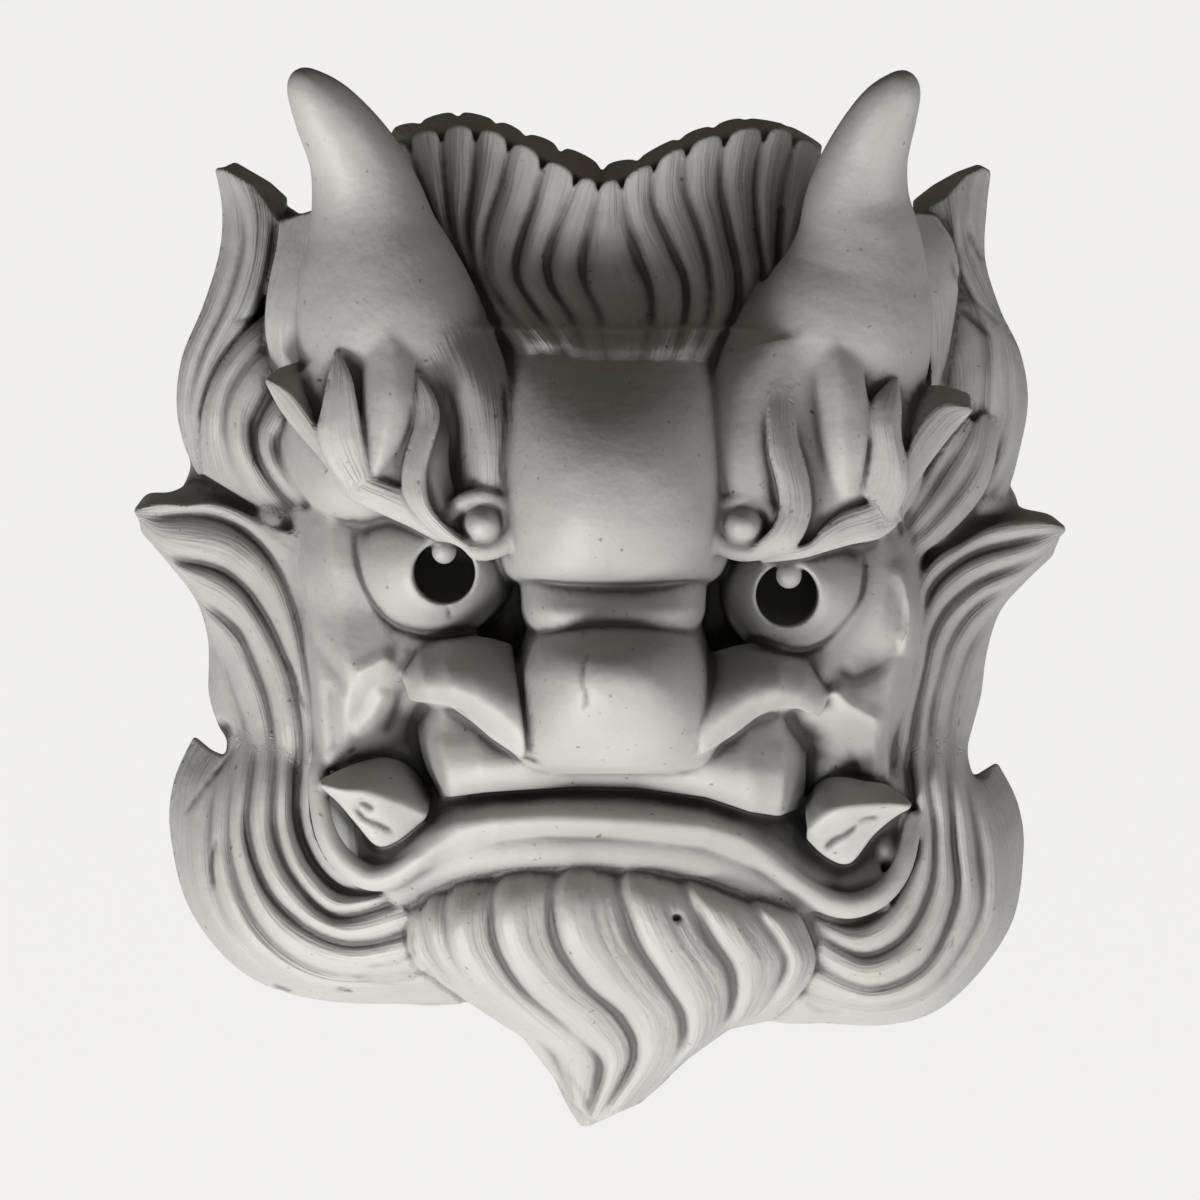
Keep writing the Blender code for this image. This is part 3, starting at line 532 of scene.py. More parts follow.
        form = np.maximum(form, base - 3.0 - d)
        self.join(part, np.clip(form, -20.0, 20.0), blend)

    def comb(self, hair: Comb) -> None:
        """Add a block of combed hair, or a patch.

        The block is what lies under the loft's height map and inside its outline. The distance in depth is
        shortened where the map is steep, by the root of 1 more than its slope squared.

        Args:
            hair: the loft.
        """
        edge = hair.outline()
        margin = self.margin(hair.blend)
        part = self.window(edge.min(axis=0) - margin, edge.max(axis=0) + margin)
        x, z = self.places(part)
        height, across, along = self.comb_maps(hair, x, z, float(np.ptp(edge, axis=0).max()))
        gx, gz = np.gradient(height, self.pitch)
        steep = 1.0 / np.sqrt(1.0 + np.minimum(gx * gx + gz * gz, 9.0))
        side = polygon_distance(edge, x, z)
        inner = side < 0.5 * self.pitch
        front = self.comb_depth[part]
        wins = inner & (height > front) & (max(hair.relief) > self.HAIR_RELIEF)
        self.comb_depth[part] = np.where(wins, height, front)
        self.comb_across[part] = np.where(wins, across, self.comb_across[part])
        self.comb_along[part] = np.where(wins, along, self.comb_along[part])
        top = float(height[inner].max()) + margin if inner.any() else 0.0
        depth_part = self.window((0.0, 0.0, hair.foot - margin), (0.0, 0.0, top))[2]
        d = self.axis[2][depth_part][None, None, :]
        form = np.maximum((d - height[..., None]) * steep[..., None], side[..., None])
        if hair.foot > 0.0:
            form = np.maximum(form, hair.foot - d)
        self.join(part + (depth_part,), form, hair.blend)

    def comb_maps(self, hair: Comb, x: np.ndarray, z: np.ndarray, size: float) -> tuple[np.ndarray, ...]:
        """Work out a loft's maps on the plan.

        The loft is sampled finely in u and t. Each cell takes the mean of the samples nearest to it, and the
        cells round the edge take the mean of their neighbours.

        Args:
            hair: the loft.
            x: places of the cells across.
            z: places of the cells up the face.
            size: longer side of the loft.

        Returns:
            The depth, the place across the guides and the run along them, for each cell.
        """
        shape = (x.shape[0], z.shape[1])
        spans = len(hair.guides) - 1
        fine = self.COMB_STEP * self.pitch
        u = np.linspace(0.0, spans, int(max(spans * self.LOCK_SAMPLES, size / fine)))
        t = np.linspace(0.0, 1.0, int(self.COMB_LENGTH * size / fine))
        uu, tt = np.meshgrid(u, t, indexing="ij")
        px, pz, depth = hair.surface(uu, tt)
        i = np.rint((px - x[0, 0]) / self.pitch).astype(int)
        k = np.rint((pz - z[0, 0]) / self.pitch).astype(int)
        inside = (i >= 0) & (i < shape[0]) & (k >= 0) & (k < shape[1])
        cell = (i * shape[1] + k)[inside]
        hits = np.bincount(cell, minlength=shape[0] * shape[1]).astype(np.float32)
        maps = []
        for value in (depth, uu, tt * size):
            total = np.bincount(cell, weights=value[inside], minlength=hits.size)
            maps.append((total / np.maximum(hits, 1.0)).reshape(shape).astype(np.float32))
        known = hits.reshape(shape) > 0
        height, across, along = (spread(m, known, 6) for m in maps)
        return softened(height), across, along

    def carve(self, points: Rows, depth: float, width: float, groove_soot_and_shade: float) -> None:
        """Draw a groove, or with a negative depth a fine ridge, along the face.

        The depth falls off as a rounded V with the distance to the spline through the (x, z) points, and
        fades over the first and last quarter of its length.

        Args:
            points: the groove's path on the layout.
            depth: depth at the middle.
            width: full width at the lip.
            groove_soot_and_shade: how much soot lies in it, with painted shade.
        """
        steps = (len(points) - 1) * self.GROOVE_STEPS
        path = catmull(points, np.linspace(0.0, 1.0, steps + 1))
        part = self.window(path.min(axis=0) - width, path.max(axis=0) + width)
        x, z = self.places(part)
        near = np.full((x.shape[0], z.shape[1]), 1e3, dtype=np.float32)
        run = np.zeros_like(near)
        for n, (a, b) in enumerate(zip(path[:-1], path[1:])):
            step = b - a
            size = max(1e-6, float(step @ step))
            t = np.clip(((x - a[0]) * step[0] + (z - a[1]) * step[1]) / size, 0.0, 1.0)
            gap = np.hypot(x - a[0] - t * step[0], z - a[1] - t * step[1])
            closer = gap < near
            near = np.where(closer, gap, near)
            run = np.where(closer, (n + t) / (len(path) - 1), run)
        profile = np.clip(1.0 - 2.0 * near / width, 0.0, 1.0) ** 1.3
        profile = profile * ease(4.0 * run + 0.15) * ease(4.0 * (1.0 - run) + 0.15)
        old = self.carving[part]
        self.carving[part] = np.where(np.abs(depth * profile) > np.abs(old), depth * profile, old)
        # Darkens the groove's colour: soot, and painted shade in the groove.
        self.groove_soot_and_shade[part] = np.maximum(self.groove_soot_and_shade[part], groove_soot_and_shade * profile)

    def press(self) -> None:
        """Sink the carving into the face: each point's distance grows by the carving's depth there."""
        self.field += self.carving[:, :, None]

    def soften(self) -> None:
        """Round the clay slightly: each distance is mixed with its neighbours, a quarter from each side."""
        for axis in range(3):
            line = np.moveaxis(self.field, axis, 0)
            middle = 0.5 * line[1:-1] + 0.25 * (line[:-2] + line[2:])
            line[1:-1] = middle

    def mixed(self, values: np.ndarray, points: np.ndarray) -> np.ndarray:
        """Lattice values at layout points, mixed between the eight nearest lattice points.

        Args:
            values: one value for each lattice point.
            points: rows of x, z and d.

        Returns:
            One value for each row.
        """
        place = (points - self.low) / self.pitch
        first = np.clip(np.floor(place).astype(int), 0, self.count - 2)
        f = np.clip(place - first, 0.0, 1.0)
        total = np.zeros(len(points))
        for corner in range(8):
            step = np.array([corner >> k & 1 for k in range(3)])
            share = np.prod(np.where(step, f, 1.0 - f), axis=1)
            total += share * values[tuple((first + step).T)]
        return total

    def slope(self, points: np.ndarray, reach: float) -> np.ndarray:
        """Direction in which the distance grows, from its differences along the three axes.

        Args:
            points: rows of x, z and d.
            reach: how far to each side the distance is read.

        Returns:
            One unit direction for each row.
        """
        grown = np.zeros(points.shape)
        for k in range(3):
            step = np.zeros(3)
            step[k] = reach
            ahead, behind = self.mixed(self.field, points + step), self.mixed(self.field, points - step)
            grown[:, k] = ahead - behind
        return grown / np.maximum(np.linalg.norm(grown, axis=1), 1e-9)[:, None]

    def flatten_back(self) -> None:
        """Cut the clay off flat at the wall, d = 0."""
        d = self.axis[2][None, None, :]
        np.maximum(self.field, -d, out=self.field)

    def sample(self, plan: np.ndarray, points: np.ndarray) -> np.ndarray:
        """Value of a plan map at layout points, mixed between its four nearest cells.

        Args:
            plan: one value for each cell of the plan.
            points: rows of x, z and d.

        Returns:
            One value for each row.
        """
        place = (points[:, :2] - self.low[:2]) / self.pitch
        first = np.clip(np.floor(place).astype(int), 0, self.count[:2] - 2)
        f = np.clip(place - first, 0.0, 1.0)
        i, k = first[:, 0], first[:, 1]
        left = plan[i, k] * (1.0 - f[:, 1]) + plan[i, k + 1] * f[:, 1]
        right = plan[i + 1, k] * (1.0 - f[:, 1]) + plan[i + 1, k + 1] * f[:, 1]
        return left * (1.0 - f[:, 0]) + right * f[:, 0]

    def fullness(self, points: np.ndarray, radius: float) -> np.ndarray:
        """Share of clay in a box round each point: over a half in hollows, under it on edges.

        Args:
            points: rows of x, z and d.
            radius: half size of the box.

        Returns:
            One share for each row.
        """
        share = np.clip(0.5 - self.field / self.pitch, 0.0, 1.0)
        reach = max(1, round(radius / self.pitch))
        for axis in range(3):
            line = np.moveaxis(share, axis, 0)
            padded = np.pad(line, ((reach + 1, reach), (0, 0), (0, 0)), mode="edge")
            total = np.cumsum(padded, axis=0)
            mean = (total[2 * reach + 1 :] - total[: -2 * reach - 1]) / (2 * reach + 1)
            share = np.moveaxis(mean, 0, axis)
        return self.mixed(share, points)

    def skin(self) -> Skin:
        """Draw a skin over the clay, with one point in each cell that the surface passes through.

        Returns:
            The skin, with its faces outwards.
        """
        inside = self.field < 0.0
        cells = np.array(self.field.shape) - 1
        tally = np.zeros(tuple(cells), dtype=np.int8)
        for corner in range(8):
            cut = tuple(slice(corner >> k & 1, (corner >> k & 1) + cells[k]) for k in range(3))
            tally += inside[cut]
        active = np.flatnonzero((tally.ravel() > 0) & (tally.ravel() < 8))
        number = np.full(tuple(cells), -1, dtype=np.int32)
        number.ravel()[active] = np.arange(len(active), dtype=np.int32)
        points = self.cell_points(np.stack(np.unravel_index(active, tuple(cells)), axis=1))
        return Skin(points, self.cell_faces(inside, number))

    def cell_points(self, at: np.ndarray) -> np.ndarray:
        """Point of the skin in each cell: the mean of where the surface crosses the cell's edges.

        Args:
            at: rows of cell numbers in the three directions.

        Returns:
            Rows of x, z and d.
        """
        total = np.zeros((len(at), 3))
        hits = np.zeros(len(at))
        for axis in range(3):
            others = [k for k in range(3) if k != axis]
            for a, b in ((0, 0), (0, 1), (1, 0), (1, 1)):
                start = np.zeros(3, dtype=int)
                start[others] = a, b
                end = start.copy()
                end[axis] = 1
                v0 = self.field[tuple((at + start).T)]
                v1 = self.field[tuple((at + end).T)]
                crossed = (v0 < 0.0) != (v1 < 0.0)
                share = v0 / np.where(crossed, v0 - v1, 1.0)
                spot = start + share[:, None] * (end - start)
                total += spot * crossed[:, None]
                hits += crossed
        return self.low + self.pitch * (at + total / hits[:, None])

    def cell_faces(self, inside: np.ndarray, number: np.ndarray) -> np.ndarray:
        """Faces of the skin: for each lattice edge that it crosses, the points of the four cells round it.

        Args:
            inside: whether each lattice point is in the clay.
            number: number of each cell's point.

        Returns:
            The four corners of each face, turned outwards.
        """
        cells = number.shape
        quads = []
        for axis in range(3):
            others = [k for k in range(3) if k != axis]
            near = tuple(slice(0, cells[k]) if k == axis else slice(1, cells[k]) for k in range(3))
            far = tuple(slice(1, cells[k] + 1) if k == axis else slice(1, cells[k]) for k in range(3))
            shift = np.ones(3, dtype=int)
            shift[axis] = 0
            edge = np.stack(np.nonzero(inside[near] != inside[far]), axis=1) + shift
            ring = []
            for a, b in ((0, 0), (1, 0), (1, 1), (0, 1)):
                cell = edge.copy()
                cell[:, others] -= (a, b)
                ring.append(number[tuple(cell.T)])
            ring = np.stack(ring, axis=1)
            outward = inside[tuple(edge.T)]
            if axis != 1:
                outward = ~outward
            ring[outward] = ring[outward][:, ::-1]
            quads.append(ring)
        return np.concatenate(quads)


def soft_least(a: np.ndarray, b: np.ndarray, blend: float) -> np.ndarray:
    """Lesser of two distances, rounded where they are within `blend` of each other.

    Args:
        a: distances to one form.
        b: distances to the other.
        blend: width of the rounding.

    Returns:
        Distances to both together.
    """
    if blend <= 0.0:
        return np.minimum(a, b)
    mix = np.clip(0.5 + 0.5 * (b - a) / blend, 0.0, 1.0)
    return b * (1.0 - mix) + a * mix - blend * mix * (1.0 - mix)


def spread(plan: np.ndarray, known: np.ndarray, rounds: int) -> np.ndarray:
    """Carry known values of a map outwards, one cell a round, as the mean of known neighbours.

    Args:
        plan: the map.
        known: whether each cell's value is known.
        rounds: how many cells outwards.

    Returns:
        The map, with the cells beyond still at 0.
    """
    value = np.where(known, plan, 0.0)
    known = known.copy()
    for _ in range(rounds):
        total = np.zeros_like(value)
        hits = np.zeros_like(value)
        for a in (-1, 0, 1):
            for b in (-1, 0, 1):
                near = np.roll(np.roll(known, a, axis=0), b, axis=1)
                total += np.where(near, np.roll(np.roll(value, a, axis=0), b, axis=1), 0.0)
                hits += near
        fresh = ~known & (hits > 0)
        value = np.where(fresh, total / np.maximum(hits, 1.0), value)
        known |= fresh
    return value


def softened(plan: np.ndarray) -> np.ndarray:
    """Mix each value of a map with its neighbours, a quarter from each side, across and then up.

    Args:
        plan: the map.

    Returns:
        The softened map.
    """
    for axis in (0, 1):
        low = np.concatenate((plan.take([0], axis), plan.take(range(plan.shape[axis] - 1), axis)), axis)
        high = np.concatenate((plan.take(range(1, plan.shape[axis]), axis), plan.take([-1], axis)), axis)
        plan = 0.5 * plan + 0.25 * (low + high)
    return plan


def polygon_distance(edge: np.ndarray, x: np.ndarray, z: np.ndarray) -> np.ndarray:
    """Signed distance to a closed outline.

    The distance is the least over the outline's sides. A cell is inside if a line from it to the right
    crosses an odd number of sides.

    Args:
        edge: rows of (x, z) round the outline.
        x: places of the cells across.
        z: places of the cells up the face.

    Returns:
        The distance of each cell, negative inside.
    """
    near = np.full((x.shape[0], z.shape[1]), 1e6, dtype=np.float32)
    odd = np.zeros(near.shape, dtype=bool)
    for a, b in zip(edge, np.roll(edge, -1, axis=0)):
        step = b - a
        size = float(step @ step)
        if size < 1e-9:
            continue
        t = np.clip(((x - a[0]) * step[0] + (z - a[1]) * step[1]) / size, 0.0, 1.0)
        near = np.minimum(near, (x - a[0] - t * step[0]) ** 2 + (z - a[1] - t * step[1]) ** 2)
        between = (a[1] > z) != (b[1] > z)
        if between.any():
            odd ^= between & (x < a[0] + (z - a[1]) * step[0] / step[1])
    return np.where(odd, -1.0, 1.0) * np.sqrt(near)


@dataclass
class Skull:
    """Masses of the head, under the face and the hair.

    Attributes:
        masses: (x, z) of each one's centre, which lies in the wall, and its three radii.
        blend: width of the soft seams between them.
    """

    masses: Rows = (
        (3, 0, 110, 122, 74), (4, -62, 98, 56, 68), (4, 74, 96, 60, 66), (2, -104, 84, 34, 68),
        (-80, -76, 36, 40, 52), (86, -80, 36, 40, 50), (-98, 70, 26, 44, 46), (106, 68, 24, 44, 44),
        (-122, 36, 20, 12, 30), (126, 32, 16, 12, 34), (-66, -100, 22, 22, 60), (70, -106, 22, 22, 57),
        (-110, 26, 14, 16, 50), (112, 24, 14, 16, 48), (-108, 106, 13, 28, 27), (112, 108, 12, 28, 30),
        (-132, 56, 8, 18, 23), (-69, -52, 20, 18, 57), (80, -56, 26, 20, 61), (66, -114, 20, 18, 58),
        (-52, -124, 18, 12.5, 42), (60, -127, 20, 15, 42), (71, -108, 14, 26, 63), (98, -66, 9, 18, 58),
        (97, -86, 12, 14, 55), (68, -134, 16, 9, 44), (-60, -116, 12, 20, 60),
    )
    blend: float = 6.0

    def model(self, block: ClayBlock) -> None:
        """Add the masses to the block."""
        for x, z, *radii in self.masses:
            block.lobe((x, z, 0.0), radii, blend=self.blend)


@dataclass
class Locks:
    """Locks of hair, and plain facets, each lofted between its guides.

    Attributes:
        combs: the lofts, in the order they are laid.
    """

    combs: Sequence[Comb]

    def model(self, block: ClayBlock) -> None:
        """Add the lofts to the block."""
        for hair in self.combs:
            block.comb(hair)


LEFT_FLAME = Locks([Comb([
    [(-131, 146, 18), (-128, 147, 31)],
    [(-124, 149, 10), (-120.5, 143.5, 36)],
    [(-112, 142, 10), (-113, 137, 35)],
    [(-106, 136.5, 12), (-108.5, 128, 33)],
]), Comb([
    [(-131, 147, 22), (-128.5, 133, 23), (-129.5, 118, 25), (-135, 100, 25), (-142, 83, 23),
     (-144, 67, 21), (-141.5, 53, 20), (-136, 41, 22)],
    [(-127.5, 147, 30), (-122.5, 134, 32), (-121.5, 120, 33), (-127, 102, 32), (-135, 84, 29),
     (-139, 68, 27), (-138, 54, 26), (-135.8, 42, 25)],
    [(-117, 141, 35), (-115, 130, 36), (-116.5, 115, 36), (-121, 100, 35), (-131, 83, 32), (-137, 68, 30),
     (-137.4, 55, 28), (-135.7, 42.5, 26)],
    [(-109, 129, 34), (-110.5, 121, 31), (-113, 108, 29), (-118, 95, 29), (-129, 81, 28), (-135, 68, 27),
     (-136.6, 56, 26), (-135.6, 43, 26)],
], relief=[1.5, 4.5, 5.5, 6, 5.5, 4]), Comb([
    [(-113.5, 98, 34), (-122, 90, 35), (-130, 79, 34), (-134.6, 67, 33), (-136, 55, 31), (-135, 43, 29)],
    [(-111, 89, 37), (-119, 82, 39), (-126, 71, 38), (-128, 57, 37), (-124, 43, 38), (-116, 31, 42)],
    [(-108, 77, 38), (-113, 68, 38), (-117.5, 58, 37), (-116, 48, 39), (-110, 38, 44), (-102, 29, 51)],
    [(-105, 67, 50), (-108, 60, 49), (-110.5, 54, 47), (-109, 46, 50), (-104, 38, 55), (-96, 30, 60)],
    [(-100, 70, 64), (-99, 62, 62), (-98, 54, 62), (-96, 46, 64), (-92, 38, 68), (-86, 31, 74)],
], relief=[2, 5.5, 6.5, 6, 3, 0.2], ridges=[0.8, 1.2, 1.2, 0.6]), Comb([
    [(-109, 129, 48), (-110, 120, 51), (-113, 106, 52), (-114, 95, 50), (-113, 86, 44), (-110, 75, 36)],
    [(-93, 134, 60), (-95, 120, 62), (-97, 106, 64), (-99, 94, 63), (-100, 84, 60), (-98, 72, 54)],
], relief=[1, 3, 4, 3], skew=-0.5)])

RIGHT_FLAME = Locks([Comb([
    [(106, 135.5, 12), (107.5, 131, 36)],
    [(113, 141, 10), (116, 136, 38)],
    [(121, 145.5, 12), (123, 143.5, 36)],
    [(129, 148.5, 16), (130, 147.5, 29)],
]), Comb([
    [(107, 132, 36), (108, 118, 37), (111, 104, 37), (114, 92, 37), (117, 80, 37), (119, 66, 37),
     (117, 52, 36), (110, 38, 38), (104, 27, 40)],
    [(117, 137, 37), (119, 128, 36), (121, 114, 34), (126, 101, 33), (131, 88, 34), (131, 72, 35),
     (129, 56, 33), (123, 42, 31), (111, 26, 36)],
    [(124, 145, 33), (123.5, 132, 33), (125, 120, 31), (131, 106, 30), (137, 92, 30), (140, 76, 29),
     (139, 60, 28), (133, 44, 28), (121, 26, 32)],
    [(130, 147.5, 28), (128, 136, 28), (129, 120, 27), (134, 103, 26), (140.5, 87, 25), (143, 72, 24),
     (141.5, 56, 24), (137, 42, 24), (129, 30, 28)],
    [(133, 146, 21), (131.5, 133, 21), (131, 116, 21), (136, 99, 21), (143, 84, 20), (145.5, 67, 19),
     (142, 48, 19), (138.5, 37, 20), (134, 31, 24)],
], relief=[1.5, 4.5, 5, 4.5, 4.5, 4.5, 4], ridges=[0.6, 1, 1, 0.8]), Comb([
    [(97, 133, 60), (102, 118, 64), (107, 104, 63), (110, 92, 60), (112, 80, 54), (112, 68, 44)],
    [(114, 131, 50), (119.5, 123, 49), (122, 113, 48), (121.5, 103, 46), (120, 93, 42), (116.5, 72, 34)],
], relief=[1, 3, 4, 3, 1], skew=0.4), Comb([
    [(97, 22, 54), (105, 34, 54), (112, 47, 49), (118, 58, 44), (124, 64, 40)],
    [(99, 18, 54), (109, 31, 52), (117, 44, 46), (123, 53, 43), (127, 60, 40)],
    [(101, 15, 53), (113, 27, 50), (123, 39, 45), (129, 51, 41), (130, 64, 38)],
    [(104, 12, 52), (118, 22, 46), (129, 34, 40), (134, 46, 36), (136, 60, 33)],
], relief=[1, 4, 4, 3, 1], ridges=[1, 0.9, 1.2])])

LEFT_EAR = Locks([Comb([
    [(-158.5, 30, 10), (-154, 36, 11), (-146, 36.8, 14), (-137, 40, 18), (-126, 38, 28), (-113, 33, 40),
     (-102, 30, 34)],
    [(-158, 29, 17), (-151, 29.5, 26), (-141, 29, 31), (-132, 29, 35), (-122, 26, 41), (-110, 21, 47),
     (-100, 18, 38)],
]), Comb([
    [(-158, 31, 18), (-151, 33, 27), (-141, 32.5, 33), (-132, 33, 37), (-122, 30, 43), (-112, 25, 50),
     (-100, 22, 60), (-90, 20, 68)],
    [(-157.5, 29.5, 17), (-150, 28.5, 24), (-140, 29.5, 28), (-130, 28.5, 31), (-122, 25, 35),
     (-115, 19, 41), (-108, 9, 46), (-104, -4, 50), (-101, -20, 52), (-99, -44, 52), (-99, -66, 43)],
    [(-156.5, 26, 16), (-150, 17.5, 23), (-143, 13.5, 28), (-135, 12, 32), (-128, 9.5, 35), (-122, 5, 38),
     (-117, -1, 40), (-110.5, -12, 43), (-105, -26, 46), (-101, -46, 47), (-102, -68, 37)],
    [(-156, 23, 14), (-149, 13, 20), (-142, 6, 24), (-135, -1, 28), (-128, -6, 32), (-122, -12, 35),
     (-118, -21, 37), (-114, -32, 39), (-112, -42, 40), (-111, -54, 40), (-112, -72, 32)],
    [(-155.5, 22, 12), (-146.5, 10, 16), (-139, -1, 19), (-132.5, -12, 22), (-128, -22, 25),
     (-124.5, -32, 28), (-121.5, -40, 31), (-119.5, -47, 33), (-118.5, -54, 33), (-119, -72, 26)],
    [(-155, 22, 9), (-146, 11.5, 10), (-137.4, 0, 12), (-133.5, -12, 13), (-133, -22, 14),
     (-133, -32, 14), (-130, -42, 18), (-126, -50, 22), (-125, -66, 16)],
], relief=[2, 6, 7, 7, 6.5, 5.5, 5, 1.5], blend=1.5, ridges=[0.5, 1.2, 1.1, 1, 0.8])])

RIGHT_EAR = Locks([Comb([
    [(158.5, 24, 10), (153, 29, 11), (143, 31.5, 14), (138, 36, 18), (130, 36, 26), (118, 32, 38),
     (107, 29, 33)],
    [(158, 22.5, 17), (150, 23.5, 25), (141, 23, 31), (133, 21.5, 34), (124, 17, 40), (114, 11, 44),
     (104, 8, 36)],
]), Comb([
    [(158, 25, 18), (150, 27, 27), (140, 26.5, 33), (132, 24.5, 36), (124, 20, 41), (114, 14, 47),
     (107, 3, 53), (104, -12, 55), (101, -30, 54), (97, -44, 52), (98, -64, 42)],
    [(157.5, 24, 17), (150, 21.5, 23), (140, 19, 28), (130, 16.5, 32), (121, 12, 37), (113, 4, 42),
     (109, -7, 46), (107.5, -20, 47), (104, -34, 47), (100, -48, 46), (101, -68, 36)],
    [(156.5, 22, 15), (149, 15, 21), (141, 11, 26), (132, 7.5, 30), (125, 3.5, 34), (118, -3, 38),
     (113, -12, 41), (110.5, -24, 42), (107.5, -38, 42), (105, -56, 42), (106, -76, 33)],
    [(155.5, 19, 13), (147.5, 10.5, 18), (139.5, 4, 23), (131.5, 0, 27), (124.5, -6, 31), (119, -15, 35),
     (115.5, -27, 38), (112.5, -40, 39), (112, -58, 40), (113, -76, 31)],
    [(154.5, 17, 11), (146, 8, 15), (138, 0, 18), (131.5, -8, 22), (125.5, -17, 26), (121.5, -28, 30),
     (119, -40, 33), (118.5, -58, 35), (120, -76, 27)],
    [(154, 15, 9), (144.5, 6, 10), (136, -4, 12), (131.5, -18, 13), (129.6, -32, 14), (127, -42, 18),
     (124.5, -52, 24), (124, -62, 26), (125, -78, 18)],
], relief=[2, 6, 7, 7, 6.5, 5.5, 5, 1.5], blend=1.5, ridges=[0.8, 1.1, 1, 0.9, 0.8])])

LEFT_SWIRL = Locks([Comb([
    [(-97, -24, 42), (-98.5, -58, 52), (-98, -75, 53), (-93, -87, 55), (-85, -94.5, 58), (-74, -97, 62)],
    [(-101, -24, 33), (-103, -58, 42), (-103, -75, 42), (-98, -89, 44), (-88, -98.5, 47), (-74, -99, 56)],
    [(-107, -26, 33), (-110.5, -60, 45), (-110.5, -79, 45), (-104, -95, 47), (-90, -107.5, 50),
     (-68, -102, 60)],
    [(-113, -30, 29), (-118.5, -60, 41), (-120, -78, 42), (-114, -97, 44), (-102, -110, 47),
     (-84, -117, 51), (-62, -112, 60)],
    [(-121, -38, 25), (-125.5, -62, 37), (-126.5, -84, 39), (-119, -107, 41), (-105, -122, 43),
     (-86, -128.5, 45), (-56, -126, 52)],
    [(-127.5, -53, 30), (-132, -70, 33), (-132, -95, 35), (-124, -114, 36), (-108, -127, 37),
     (-88, -132.5, 38), (-50, -132.5, 42)],
    [(-132, -51, 24), (-139, -64, 26), (-140, -88, 28), (-133, -110, 28), (-116, -126.5, 28),
     (-90, -135, 28), (-48, -135.5, 30)],
    [(-138, -46, 14), (-145, -62, 14), (-146, -80, 14), (-139, -106, 14), (-120, -127.6, 14),
     (-92, -136.5, 14), (-47, -137, 14)],
], relief=[1.5, 5.5, 6.5, 6.5, 6.5, 5], blend=3, sharp=0.8, ridges=[0.2, 1.1, 1, 0.9, 0.7, 0.5, 0.4])])

RIGHT_SWIRL = Locks([Comb([
    [(99, -24, 42), (101, -58, 50), (103, -76, 50), (100.5, -89, 52), (93, -99, 55), (82, -104, 60),
     (70, -101, 64)],
    [(103, -26, 34), (105, -58, 42), (107, -78, 42), (104, -93, 43), (95, -105, 46), (85, -109.5, 50),
     (72, -106, 58)],
    [(108, -28, 33), (111.5, -60, 45), (114, -80, 44), (112.5, -98, 45), (104, -114, 47), (90, -121, 50),
     (75, -114, 58)],
    [(114.5, -32, 31), (118.5, -60, 41), (120, -82, 41), (121, -102, 41), (111, -124, 43),
     (92, -132.5, 45), (72, -124, 54)],
    [(121, -44, 27), (125.5, -66, 36), (129, -88, 37), (129, -108, 37), (114, -131, 38), (94, -138.5, 38),
     (69, -134, 44)],
    [(127, -60, 28), (134, -72, 30), (138, -90, 31), (134, -113, 31), (117, -135, 30), (95, -142.5, 29),
     (66, -139, 32)],
    [(135, -55, 14), (142, -69, 14), (144, -86, 14), (139, -112, 14), (119, -136.5, 14), (97, -144.5, 14),
     (62, -142.5, 14)],
], relief=[1.5, 5.5, 6.5, 6.5, 6.5, 5], blend=3, sharp=0.8, ridges=[0.2, 1.1, 1, 0.9, 0.7, 0.5])])


